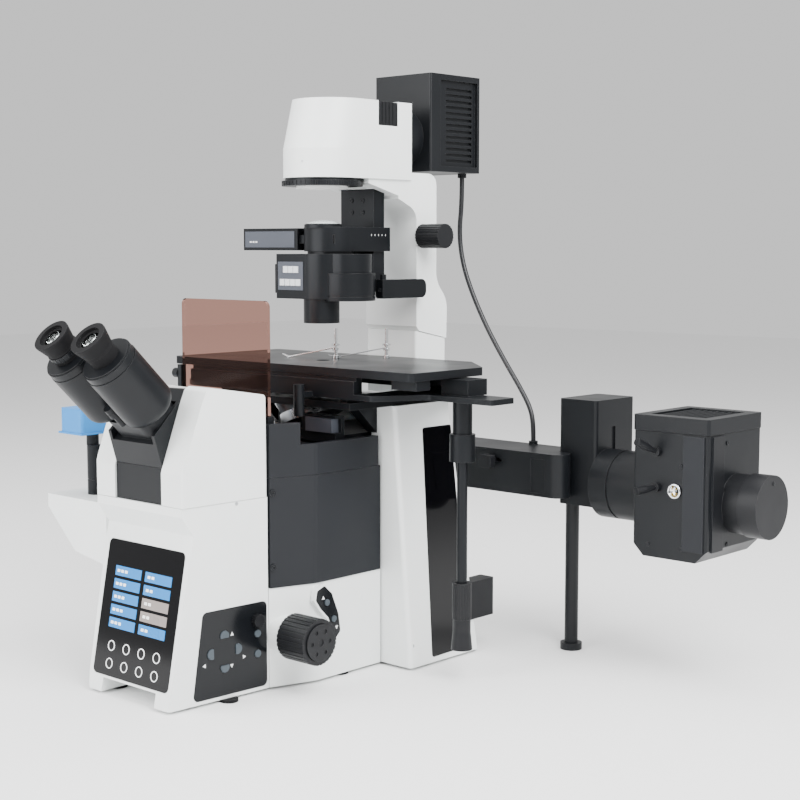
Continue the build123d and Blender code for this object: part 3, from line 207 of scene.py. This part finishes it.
# screen print: matt white with no relief to speak of
printWhite = makeFinish("whiteScreenPrint", "#E8EAEA", roughness=0.6, grainMm=2.0, grainDepthMm=0.002)
# enamel sprayed on the camera's cast housing: clear blue, even satin
blueEnamel = makeFinish("blueEnamelSprayed", "#1E7FC6", roughness=0.35, grainMm=1.6, grainDepthMm=0.008)
# anodised aluminium trim: mid grey with a faint metallic sheen
plateGrey = makeFinish("greyAnodisedTrim", "#4A4E57", roughness=0.4, grainMm=0.8, grainDepthMm=0.006,
                       metallic=0.3)
# turned brass of the connector's pins: warm yellow, dulled by handling
brassGold = makeFinish("brassTurned", "#B79B54", roughness=0.35, grainMm=1.0, grainDepthMm=0.004,
                       metallic=1.0)
print("painted, moulded and metal finishes made")

# a slow ripple, about 83 mm long, that cast sheet and polished glass both have
ripple = {"scale": 12.0, "detail": 1.0, "strength": 0.15, "depth": 0.2}


def makeClear(name, colour, roughness, ior):
    material = bpy.data.materials.new(name)
    material.use_nodes = True
    tree = material.node_tree
    tree.nodes.clear()
    where = addNode(tree, "ShaderNodeTexCoord").outputs["Object"]
    waves = addNode(tree, "ShaderNodeTexNoise", links={"Vector": where},
                    inputs={"Scale": ripple["scale"], "Detail": ripple["detail"]})
    bump = addNode(tree, "ShaderNodeBump", links={"Height": waves.outputs["Fac"]},
                   inputs={"Strength": ripple["strength"], "Distance": ripple["depth"] / 1000})
    shader = addNode(tree, "ShaderNodeBsdfPrincipled",
                     inputs={"Base Color": linear(colour), "Roughness": roughness, "IOR": ior,
                             "Transmission Weight": 1.0},
                     links={"Normal": bump.outputs["Normal"]})
    addNode(tree, "ShaderNodeOutputMaterial", links={"Surface": shader.outputs["BSDF"]})
    return material


# cast acrylic tinted amber: clear, so the stage shows through it brown
amberAcrylic = makeClear("amberAcrylicCast", "#C99A8C", roughness=0.03, ior=1.12)
# coated optical glass: clear, with a faint green cast
lensGlass = makeClear("coatedOpticalGlass", "#E8F0EE", roughness=0.02, ior=1.5)

# a glowing patch of the display, under smooth plastic
litPlastic = {"roughness": 0.3, "grainMm": 4.0, "grainDepthMm": 0.001}


def makeLit(name, colour, strength):
    material = makeFinish(name, colour, **litPlastic)
    shader = socketsOf(material.node_tree.nodes, "BSDF_PRINCIPLED")[0]
    shader.inputs["Emission Color"].default_value = linear(colour)
    shader.inputs["Emission Strength"].default_value = strength
    return material


litBlue = makeLit("litBlueTile", "#1273B8", strength=0.35)
litGrey = makeLit("litGreyTile", "#857C78", strength=0.3)
litWhite = makeLit("litWhiteSign", "#F2F4F4", strength=0.6)
# ground glass under a clear cap: milky inside, glossy outside
domeWhite = makeFinish("frostedGlassCap", "#D8DEDD", roughness=0.12, grainMm=6.0, grainDepthMm=0.001,
                       coat=0.5)
print("clear, lit and frosted finishes made")

nodeFinish = {
    "console_shell": mouldedWhite, "mid_body_shell": mouldedWhite, "tower_shell": paintedWhite,
    "upper_shell": mouldedWhite, "side_shelf": paintedWhite, "illumination_column": paintedWhite,
    "body_frame": mouldedDark, "side_covers": mouldedDark, "tube_bracket": coatedBlack,
    "screen_panel": acrylicBlack, "control_panel": inlayBlack, "button_pod": inlayBlack,
    "light_dial": nylonBlack, "rubber_feet": rubberBlack, "left_barrel": coatedBlack,
    "right_barrel": coatedBlack, "left_eyepiece": rubberBlack, "right_eyepiece": rubberBlack,
    "diopter_ring": anodisedBlack, "coarse_knobs": nylonBlack, "fine_knobs": nylonBlack,
    "stage_bed": anodisedBlack, "y_carriage": anodisedBlack, "x_plate": anodisedBlack,
    "stage_insert": anodisedBlack, "y_knob": nylonBlack, "x_knob": nylonBlack,
    "front_clip": chromeBright, "rear_clip": chromeBright, "nosepiece": steelBrushed,
    "nosepiece_carrier": anodisedBlack, "nosepiece_slider": plateGrey, "light_shield": amberAcrylic,
    "shield_holder": coatedBlack, "field_ring": anodisedBlack, "filter_cassette": nylonBlack,
    "top_lamp_house": coatedBlack, "condenser_carrier": anodisedBlack,
    "condenser_body": anodisedBlack, "condenser_turret": anodisedBlack,
    "condenser_slider": anodisedBlack, "condenser_knob": nylonBlack, "epi_arm": coatedBlack,
    "arm_lever": nylonBlack, "epi_coupler": coatedBlack, "lamp_house": coatedBlack,
    "upper_lamp_lever": nylonBlack, "lower_lamp_lever": nylonBlack, "support_leg": coatedBlack,
    "side_camera": blueEnamel, "rear_box": nylonBlack, "lamp_cable": pvcBlack,
    "up_button": keyGrey, "down_button": keyGrey, "left_button": keyGrey, "right_button": keyGrey,
    "upper_round_button": keyGrey, "lower_round_button": keyGrey, "upper_pod_button": keyGrey,
    "lower_pod_button": keyGrey,
}
for name, finish in nodeFinish.items():
    nodes[name].data.materials.clear()
    nodes[name].data.materials.append(finish)
print("finishes set on", len(nodeFinish), "nodes")


# pieces of one node that have a second finish: faces whose middle lies inside a box of the optical frame
def refinish(nodeName, finish, low, high):
    mesh = nodes[nodeName].data
    mesh.materials.append(finish)
    slotIndex = len(mesh.materials) - 1
    lowPlace, highPlace = spot(*low), spot(*high)
    for face in mesh.polygons:
        middle = nodes[nodeName].matrix_world @ face.center
        if all(lowPlace[axis] <= middle[axis] <= highPlace[axis] for axis in range(3)):
            face.material_index = slotIndex


secondFinishes = {
    "portTube": ("side_camera", anodisedBlack, (-200, -260, 190), (-120, -190, 268.5)),
    "rightInlay": ("side_covers", acrylicBlack, (112, -10, 0), (160, 130, 290)),
    "leftInlay": ("side_covers", acrylicBlack, (-160, -10, 0), (-112, 130, 290)),
    "frontStrip": ("lamp_house", mouldedDark, (400.9, 144.5, 151), (427.1, 146.9, 278)),
    "sideStrip": ("lamp_house", mouldedDark, (431.1, 154, 151), (434, 178, 278)),
    "rearFlange": ("lamp_house", nylonBlack, (431.2, 160, 160), (480, 250, 240)),
}
for nodeName, finish, low, high in secondFinishes.values():
    refinish(nodeName, finish, low, high)
print("second finishes set")

# the lamp cable hangs from the top lamp house and goes into the arm behind the tower
lampCable = {
    "route": [(24, 222, 564), (24, 222, 533), (19.5, 222, 495), (26, 222, 456), (43, 221.5, 418),
              (67, 221, 377), (95, 220, 339), (121, 218, 308), (140, 216, 283), (146, 214.5, 262),
              (146, 214.5, 243)],
    "radius": 3, "lowerEnd": (146, 214.5, 268), "upperEnd": (24, 222, 545),  # its lower and upper ends
    "order": 3, "stepsPerPoint": 12, "stepsRound": 5,
}


def makeCable():
    radius = lampCable["radius"] / 1000
    curve = bpy.data.curves.new("cableLine", "CURVE")
    curve.dimensions = "3D"
    curve.resolution_u = lampCable["stepsPerPoint"]
    spline = curve.splines.new("NURBS")
    spline.points.add(len(lampCable["route"]) - 1)
    for point, place in zip(spline.points, lampCable["route"]):
        point.co = spot(*place).to_4d()
    spline.order_u = lampCable["order"]
    spline.use_endpoint_u = True
    line = addObject("cableLine", curve)
    bpy.context.view_layer.update()
    bare = bpy.data.meshes.new_from_object(line.evaluated_get(bpy.context.evaluated_depsgraph_get()))
    curve.bevel_depth = radius
    curve.bevel_resolution = lampCable["stepsRound"]
    curve.use_fill_caps = True
    bpy.context.view_layer.update()
    tube = bpy.data.meshes.new_from_object(line.evaluated_get(bpy.context.evaluated_depsgraph_get()))
    bpy.data.objects.remove(line)
    cable = addObject("lampLead", tube)
    tube.materials.clear()
    tube.materials.append(pvcBlack)
    for face in tube.polygons:
        face.use_smooth = True
    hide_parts("lamp_cable")
    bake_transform(cable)


makeCable()
print("lamp lead made")


def geometryTree(name, inputs):
    tree = bpy.data.node_groups.new(name, "GeometryNodeTree")
    tree.interface.new_socket("Geometry", in_out="INPUT", socket_type="NodeSocketGeometry")
    for label, kind in inputs:
        tree.interface.new_socket(label, in_out="INPUT", socket_type=kind)
    tree.interface.new_socket("Geometry", in_out="OUTPUT", socket_type="NodeSocketGeometry")
    return tree, addNode(tree, "NodeGroupInput")


# every tree ends alike: instances made real, one finish set on them
def endTree(tree, shared, instances):
    real = addNode(tree, "GeometryNodeRealizeInstances", links={"Geometry": instances})
    finished = addNode(tree, "GeometryNodeSetMaterial",
                       links={"Geometry": real.outputs["Geometry"], "Material": shared.outputs["Finish"]})
    addNode(tree, "NodeGroupOutput", links={"Geometry": finished.outputs["Geometry"]})


# runs a tree on a mesh and keeps the result as a plain mesh
def bakeTree(name, mesh, tree, values, body):
    carrier = addObject(name + "Points", mesh)
    modifier = carrier.modifiers.new("build", "NODES")
    modifier.node_group = tree
    for item in tree.interface.items_tree:
        if item.in_out == "INPUT" and item.name in values:
            modifier[item.identifier] = values[item.name]
    bpy.context.view_layer.update()
    evaluated = carrier.evaluated_get(bpy.context.evaluated_depsgraph_get())
    plain = bpy.data.meshes.new_from_object(evaluated)
    carrier.modifiers.remove(modifier)
    bpy.data.objects.remove(carrier)
    addPiece(name, plain, body)


# socket-head screws: one head, set on points that carry the direction it faces and its size
screwHead = {"radius": 2.7, "height": 1.2, "socket": 1.4, "socketRaised": 0.5, "stepsRound": 24}
screwTree, screwInput = geometryTree("screwHeads", [
    ("Head Radius", "NodeSocketFloat"), ("Head Height", "NodeSocketFloat"),
    ("Socket Radius", "NodeSocketFloat"), ("Finish", "NodeSocketMaterial")])
headHeight = screwInput.outputs["Head Height"]
headDisc = addNode(screwTree, "GeometryNodeMeshCylinder", inputs={"Vertices": screwHead["stepsRound"]},
                   links={"Radius": screwInput.outputs["Head Radius"], "Depth": headHeight})
socketHole = addNode(screwTree, "GeometryNodeMeshCylinder", inputs={"Vertices": 6},
                     links={"Radius": screwInput.outputs["Socket Radius"], "Depth": headHeight})
lift = addNode(screwTree, "ShaderNodeMath", {"operation": "MULTIPLY"}, {1: screwHead["socketRaised"]},
               {0: headHeight})
liftVector = addNode(screwTree, "ShaderNodeCombineXYZ", links={"Z": lift.outputs[0]})
raisedHole = addNode(screwTree, "GeometryNodeTransform",
                     links={"Geometry": socketHole.outputs["Mesh"], "Translation": liftVector.outputs[0]})
head = addNode(screwTree, "GeometryNodeMeshBoolean", {"operation": "DIFFERENCE", "solver": "EXACT"})
screwTree.links.new(headDisc.outputs["Mesh"], head.inputs[0])
screwTree.links.new(raisedHole.outputs["Geometry"], head.inputs[1])
facingOf = addNode(screwTree, "GeometryNodeInputNamedAttribute", {"data_type": "FLOAT_VECTOR"},
                   {"Name": "facing"})
sizeOf = addNode(screwTree, "GeometryNodeInputNamedAttribute", {"data_type": "FLOAT"}, {"Name": "size"})
align = addNode(screwTree, "FunctionNodeAlignRotationToVector", {"axis": "Z"},
                links={"Vector": facingOf.outputs["Attribute"]})
placedHeads = addNode(screwTree, "GeometryNodeInstanceOnPoints",
                      links={"Points": screwInput.outputs["Geometry"], "Instance": head.outputs["Mesh"],
                             "Rotation": align.outputs["Rotation"], "Scale": sizeOf.outputs["Attribute"]})
endTree(screwTree, screwInput, placedHeads.outputs["Instances"])


def addScrews(name, body, finish, places):
    mesh = bpy.data.meshes.new(name)
    mesh.from_pydata([spot(*place) for place, facing, size in places], [], [])
    mesh.attributes.new("facing", "FLOAT_VECTOR", "POINT")
    mesh.attributes.new("size", "FLOAT", "POINT")
    for index, (place, facing, size) in enumerate(places):
        mesh.attributes["facing"].data[index].vector = facing
        mesh.attributes["size"].data[index].value = size
    values = {"Head Radius": screwHead["radius"] / 1000, "Head Height": screwHead["height"] / 1000,
              "Socket Radius": screwHead["socket"] / 1000, "Finish": finish}
    bakeTree(name, mesh, screwTree, values, body)


right, front, up = (1, 0, 0), (0, -1, 0), (0, 0, 1)
facet, facetLeft = (0.947, -0.321, 0), (-0.947, -0.321, 0)  # the middle body's front facets
flankOut, flankOutLeft = (0.998, -0.0645, 0), (-0.998, -0.0645, 0)  # the console's flanks
headFront = (0.26, -0.96, 0)

# each screw: where it sits, which way it faces and its size against the plain head
screws = {
    "coverScrews": ("base", anodisedBlack, "black_metal", [
        ((82.2, -157.0, 216), facet, 1.3), ((82.2, -157.0, 135), facet, 1.3),
        ((-82.2, -157.0, 216), facetLeft, 1.3), ((-82.2, -157.0, 135), facetLeft, 1.3),
        ((431.5, 185.6, 268), right, 0.9), ((431.5, 189, 157), right, 0.9),
        ((397.6, 146.5, 243.4), front, 0.9), ((398.9, 146.5, 153), front, 0.9),
        ((357.4, 146.5, 153.5), front, 0.9), ((262.4, 194, 190), right, 0.9),
        ((475.2, 208.7, 225.6), right, 0.8)]),
    "brightScrews": ("base", steelBrushed, "steel", [
        ((75.6, -203, 209.6), flankOut, 0.7), ((-75.6, -203, 209.6), flankOutLeft, 0.7),
        ((262.4, 232, 222), right, 0.7), ((139.5, 3, 28), front, 0.7)]),
    "columnScrews": ("column", steelBrushed, "steel", [((12, -43.6, 575), headFront, 0.5)]),
    "carrierScrews": ("condenser", anodisedBlack, "black_metal", [
        ((-9, 57.6, 533), front, 1.0), ((9, 57.6, 533), front, 1.0),
        ((-9, 57.6, 519), front, 1.0), ((9, 57.6, 519), front, 1.0), ((50, 43.6, 428), front, 0.9)]),
}
for name, (body, finish, slotName, places) in screws.items():
    addScrews(name, body, finish, places)
print("screws set")

# rows and columns of flat keys or signs, laid out on a sloping plane
keyTree, keyInput = geometryTree("keyField", [
    ("Columns", "NodeSocketInt"), ("Rows", "NodeSocketInt"),
    ("Pitch Across", "NodeSocketFloat"), ("Pitch Up", "NodeSocketFloat"),
    ("Key Size", "NodeSocketVector"), ("Place", "NodeSocketVector"),
    ("Turn", "NodeSocketVector"), ("Finish", "NodeSocketMaterial")])


# from the first to the last of a row: one pitch less than its count
def spanOf(count, pitch):
    gaps = addNode(keyTree, "ShaderNodeMath", {"operation": "SUBTRACT"}, {1: 1.0},
                   {0: keyInput.outputs[count]})
    return addNode(keyTree, "ShaderNodeMath", {"operation": "MULTIPLY"},
                   links={0: gaps.outputs[0], 1: keyInput.outputs[pitch]}).outputs[0]


keyGrid = addNode(keyTree, "GeometryNodeMeshGrid",
                  links={"Size X": spanOf("Columns", "Pitch Across"), "Size Y": spanOf("Rows", "Pitch Up"),
                         "Vertices X": keyInput.outputs["Columns"], "Vertices Y": keyInput.outputs["Rows"]})
oneKey = addNode(keyTree, "GeometryNodeMeshCube", links={"Size": keyInput.outputs["Key Size"]})
keyField = addNode(keyTree, "GeometryNodeInstanceOnPoints",
                   links={"Points": keyGrid.outputs["Mesh"], "Instance": oneKey.outputs["Mesh"]})
placedKeys = addNode(keyTree, "GeometryNodeTransform",
                     links={"Geometry": keyField.outputs["Instances"],
                            "Translation": keyInput.outputs["Place"], "Rotation": keyInput.outputs["Turn"]})
endTree(keyTree, keyInput, placedKeys.outputs["Geometry"])


def addKeys(name, body, finish, columns, rows, pitch, size, place, turn):
    values = {"Columns": columns, "Rows": rows, "Key Size": [side / 1000 for side in size],
              "Pitch Across": pitch[0] / 1000, "Pitch Up": pitch[1] / 1000,
              "Place": list(place), "Turn": list(turn), "Finish": finish}
    bakeTree(name, bpy.data.meshes.new(name), keyTree, values, body)


# the display: two columns of five tiles above two rows of four ring keys
display = {"slope": math.radians(79.4), "foot": (-292.5, 3), "tile": (44, 10.6, 0.3), "rowPitch": 13.9,
           "rows": 5, "leftX": -24.5, "rightX": 26.0, "topRow": 131.0, "tileLift": 0.55,
           "sign": (4.4, 3.0, 0.2), "signPitch": 6.4, "signLift": 0.8}
slopeTurn = (display["slope"], 0, 0)


def onScreen(x, along, lift):
    cosine, sine = math.cos(display["slope"]), math.sin(display["slope"])
    footY, footZ = display["foot"]
    return spot(x, footY + along * cosine - lift * sine, footZ + along * sine + lift * cosine)


def rowAt(index):
    return display["topRow"] - index * display["rowPitch"]


# finish, rows, column and the middle row of each block of tiles
tileBlocks = {
    "leftTiles": (litBlue, 5, "leftX", 2), "upperRightTiles": (litBlue, 2, "rightX", 0.5),
    "greyTiles": (litGrey, 2, "rightX", 2.5), "lastTile": (litBlue, 1, "rightX", 4),
}
for name, (finish, rows, column, middle) in tileBlocks.items():
    addKeys(name, "base", finish, 1, rows, (0, display["rowPitch"]), display["tile"],
            onScreen(display[column], rowAt(middle), display["tileLift"]), slopeTurn)
# plain dashes at the left of every tile: how many, and how far from the tile's middle
tileDashes = {"tileSigns": (3, "leftX", 10), "tileSignsRight": (2, "rightX", 12)}
for name, (columns, column, shift) in tileDashes.items():
    addKeys(name, "base", litWhite, columns, display["rows"],
            (display["signPitch"], display["rowPitch"]), display["sign"],
            onScreen(display[column] - shift, rowAt(2), display["signLift"]), slopeTurn)
print("display tiles laid out")

# the touch keys below the tiles: a thin ring on each point of a grid
touchKeys = {"columns": 4, "rows": 2, "span": (76.5, 19), "radius": 5.2, "wire": 0.55,
             "middle": (1.0, 41.2), "lift": 0.5, "stepsRound": 32, "wireSteps": 6}
ringTree, ringInput = geometryTree("ringKeys", [
    ("Columns", "NodeSocketInt"), ("Rows", "NodeSocketInt"),
    ("Span Across", "NodeSocketFloat"), ("Span Up", "NodeSocketFloat"),
    ("Ring Radius", "NodeSocketFloat"), ("Wire Radius", "NodeSocketFloat"),
    ("Place", "NodeSocketVector"), ("Turn", "NodeSocketVector"), ("Finish", "NodeSocketMaterial")])
ringGrid = addNode(ringTree, "GeometryNodeMeshGrid",
                   links={"Size X": ringInput.outputs["Span Across"], "Size Y": ringInput.outputs["Span Up"],
                          "Vertices X": ringInput.outputs["Columns"],
                          "Vertices Y": ringInput.outputs["Rows"]})
ringLine = addNode(ringTree, "GeometryNodeCurvePrimitiveCircle",
                   inputs={"Resolution": touchKeys["stepsRound"]},
                   links={"Radius": ringInput.outputs["Ring Radius"]})
ringWire = addNode(ringTree, "GeometryNodeCurvePrimitiveCircle",
                   inputs={"Resolution": touchKeys["wireSteps"]},
                   links={"Radius": ringInput.outputs["Wire Radius"]})
ringTube = addNode(ringTree, "GeometryNodeCurveToMesh",
                   links={"Curve": ringLine.outputs["Curve"], "Profile Curve": ringWire.outputs["Curve"]})
rings = addNode(ringTree, "GeometryNodeInstanceOnPoints",
                links={"Points": ringGrid.outputs["Mesh"], "Instance": ringTube.outputs["Mesh"]})
placedRings = addNode(ringTree, "GeometryNodeTransform",
                      links={"Geometry": rings.outputs["Instances"],
                             "Translation": ringInput.outputs["Place"],
                             "Rotation": ringInput.outputs["Turn"]})
endTree(ringTree, ringInput, placedRings.outputs["Geometry"])


def addRings(name, body, finish, keys, place, turn):
    values = {"Columns": keys["columns"], "Rows": keys["rows"],
              "Span Across": keys["span"][0] / 1000, "Span Up": keys["span"][1] / 1000,
              "Ring Radius": keys["radius"] / 1000, "Wire Radius": keys["wire"] / 1000,
              "Place": list(place), "Turn": list(turn), "Finish": finish}
    bakeTree(name, bpy.data.meshes.new(name), ringTree, values, body)


addRings("touchRings", "base", litWhite, touchKeys,
         onScreen(*touchKeys["middle"], touchKeys["lift"]), slopeTurn)
print("touch rings laid out")

# the condenser's keypad, the plate on its slider and the marks of its scale
facingFront = (math.radians(90), 0, 0)
facingRight = (math.radians(90), 0, math.radians(90))
# body, slot, finish, how many in a row, pitch, size, middle and turn
condenserSigns = {
    "keypadPlate": ("condenser", "black_metal", plateGrey, 1, 0, (42, 33, 0.6),
                    (-28, -25.2, 444.5), facingFront),
    "keypadUpper": ("condenser", "white_cover", keyWhite, 3, 8.6, (7.6, 7.6, 1.6),
                    (-27, -25.6, 452), facingFront),
    "keypadLower": ("condenser", "white_cover", keyWhite, 4, 8.8, (7.8, 7.6, 1.6),
                    (-28, -25.6, 437), facingFront),
    "sliderPlate": ("condenser_slider", "black_metal", plateGrey, 1, 0, (86, 19, 0.5),
                    (-80, -10.1, 487), facingFront),
    "sliderSigns": ("condenser_slider", "white_cover", printWhite, 3, 5, (3.2, 2.0, 0.2),
                    (-108, -10.4, 484), facingFront),
    "scaleSigns": ("condenser", "white_cover", printWhite, 5, 6, (0.8, 2.2, 0.2),
                   (31.05, 62, 492), facingRight),
}
for name, (body, slotName, finish, columns, pitch, size, middle, turn) in condenserSigns.items():
    addKeys(name, body, finish, columns, 1, (pitch, 0), size, spot(*middle), turn)
print("condenser signs laid out")

# small arrow signs, cut as flat prisms that reach a hair into the panel
arrowSigns = {
    "depth": 0.15, "sunk": 0.2,
    "up": [(-2.2, -1.8), (2.2, -1.8), (0, 2.2)], "down": [(-2.2, 1.8), (0, -2.2), (2.2, 1.8)],
    "left": [(1.8, -2.2), (1.8, 2.2), (-2.2, 0)], "right": [(-1.8, 2.2), (-1.8, -2.2), (2.2, 0)],
}
# the console's right flank widens towards the back
consoleFlank = {"frontX": 69.5, "frontY": -292.5, "widening": 8.5 / 131.5, "lift": 0.45,
                "across": (0.0645, 0.998, 0)}
podFace = {"x": 101.4, "across": (0, 1, 0)}


def onFlank(y, z):
    x = consoleFlank["frontX"] + (y - consoleFlank["frontY"]) * consoleFlank["widening"]
    return spot(x + consoleFlank["lift"], y, z)


def addArrow(name, way, centre, across):
    build = bmesh.new()
    across, upward = Vector(across).normalized(), Vector(up)
    outward = across.cross(upward)
    flat = [centre + (across * u + upward * v) / 1000 for u, v in arrowSigns[way]]
    lower = [build.verts.new(place - outward * arrowSigns["sunk"] / 1000) for place in flat]
    upper = [build.verts.new(place + outward * arrowSigns["depth"] / 1000) for place in flat]
    build.faces.new(upper)
    build.faces.new(list(reversed(lower)))
    for index in range(len(flat)):
        following = (index + 1) % len(flat)
        build.faces.new([lower[index], lower[following], upper[following], upper[index]])
    addBuilt(name, build, printWhite, "base", smooth=False)


for name, way, y, z in (("arrowUp", "up", -211, 71.5), ("arrowLeft", "left", -247.5, 43.3),
                        ("arrowRight", "right", -195, 44), ("arrowDown", "down", -211.7, 37.2)):
    addArrow(name, way, onFlank(y, z), consoleFlank["across"])
for name, way, y, z in (("podUp", "up", -101.5, 95.5), ("podDown", "down", -81, 59)):
    addArrow(name, way, spot(podFace["x"], y, z), podFace["across"])
print("arrow signs cut")


# turned pieces: a profile of (radius, height) spun round a line
def addTurned(name, body, finish, profile, place, direction, steps=48):
    turn = Vector(direction).normalized().to_track_quat("Z", "Y").to_matrix().to_4x4()
    standing = Matrix.Translation(place) @ turn
    angles = [2 * math.pi * index / steps for index in range(steps)]
    build = bmesh.new()
    rows = []
    for radius, height in profile:  # a radius of 0 is a pole, one vertex
        ring = [(radius * math.cos(angle), radius * math.sin(angle), height) for angle in angles]
        if not radius:
            ring = ring[:1]
        rows.append([build.verts.new(standing @ (Vector(point) / 1000)) for point in ring])
    for lower, upper in zip(rows, rows[1:]):
        for index in range(steps):
            following = (index + 1) % steps
            if len(lower) == 1:
                build.faces.new([lower[0], upper[index], upper[following]])
            elif len(upper) == 1:
                build.faces.new([lower[index], lower[following], upper[0]])
            else:
                build.faces.new([lower[index], lower[following], upper[following], upper[index]])
    addBuilt(name, build, finish, body, smooth=True)


# a dome under the condenser's lens tube and a sunk lens in each eyepiece
lenses = {
    "dome": {"place": (0, 1, 500.6), "steps": 64,
             "profile": [(0, 0), (21.6, 0), (21.6, 3.1), (18, 5.6), (12, 7.4), (6, 8.4), (0, 8.7)]},
    "eye": {"side": 31, "y": -356, "z": 389.4, "axis": (0, -1, 1),
            "profile": [(0, -5.9), (10.8, -5.9), (10.8, -4.6), (6, -4.0), (0, -3.7)]},
}
dome, eye = lenses["dome"], lenses["eye"]
addTurned("condenserLens", "condenser", domeWhite, dome["profile"], spot(*dome["place"]), up,
          dome["steps"])
for name, body, side in (("eyeLensLeft", "left_eye", -1), ("eyeLensRight", "right_eye", 1)):
    addTurned(name, body, lensGlass, eye["profile"],
              spot(side * eye["side"], eye["y"], eye["z"]), eye["axis"])
print("lenses turned")

# connector on the front of the lamp house: a sleeve round four gold pins
lampSocket = {
    "x": 391, "sleeveY": 146.6, "pinY": 145.4, "z": 216, "pins": 4, "ring": 3.4, "firstAngle": 45,
    "pinSteps": 12, "pin": [(0, 0), (0.8, 0), (0.8, 1.6), (0, 1.9)],
    "sleeve": [(0, 0), (8.3, 0), (8.3, 3.0), (7.2, 3.6), (6.2, 3.6), (6.2, 1.2), (0, 1.2)],
}
addTurned("socketShell", "base", chromeBright, lampSocket["sleeve"],
          spot(lampSocket["x"], lampSocket["sleeveY"], lampSocket["z"]), front)
for index in range(lampSocket["pins"]):
    angle = math.radians(lampSocket["firstAngle"] + 360 / lampSocket["pins"] * index)
    addTurned("socketPin%d" % index, "base", brassGold, lampSocket["pin"],
              spot(lampSocket["x"] + lampSocket["ring"] * math.cos(angle), lampSocket["pinY"],
                   lampSocket["z"] + lampSocket["ring"] * math.sin(angle)), front, lampSocket["pinSteps"])
print("lamp connector turned")

# pale floor and soft light, as for a product shot
studio = {
    "floor": {"half": 6000, "below": 0.3, "tone": 0.9, "roughness": 0.9},
    "aim": (50, 0, 330), "ambient": 0.85,
    "lights": {
        "key": {"place": (1500, -300, 1600), "size": 1400, "power": 80},
        "front": {"place": (-500, -1700, 1100), "size": 1800, "power": 60},
        "top": {"place": (100, 200, 2200), "size": 2000, "power": 40},
    },
}
reach = studio["floor"]["half"] / 1000
floorMesh = bpy.data.meshes.new("floor")
floorMesh.from_pydata([(-reach, -reach, 0), (reach, -reach, 0), (reach, reach, 0), (-reach, reach, 0)], [],
                      [(0, 1, 2, 3)])
floor = addObject("floor", floorMesh)
floor.location.z = -studio["floor"]["below"] / 1000
floorPaper = bpy.data.materials.new("paleFloor")
floorPaper.use_nodes = True
floorShader = floorPaper.node_tree.nodes["Principled BSDF"]
floorShader.inputs["Base Color"].default_value = (studio["floor"]["tone"],) * 3 + (1,)
floorShader.inputs["Roughness"].default_value = studio["floor"]["roughness"]
floorMesh.materials.append(floorPaper)

for name, light in studio["lights"].items():
    data = bpy.data.lights.new(name, "AREA")
    data.shape = "SQUARE"
    data.size = light["size"] / 1000
    data.energy = light["power"]
    lamp = bpy.data.objects.new(name, data)
    lamp.location = spot(*light["place"])
    lamp.rotation_euler = (spot(*studio["aim"]) - lamp.location).to_track_quat("-Z", "Y").to_euler()
    collection.objects.link(lamp)
world = bpy.data.worlds.new("studio")
world.use_nodes = True
background = world.node_tree.nodes["Background"]
background.inputs["Color"].default_value = (1, 1, 1, 1)
background.inputs["Strength"].default_value = studio["ambient"]
bpy.context.scene.world = world
print("stage lit")
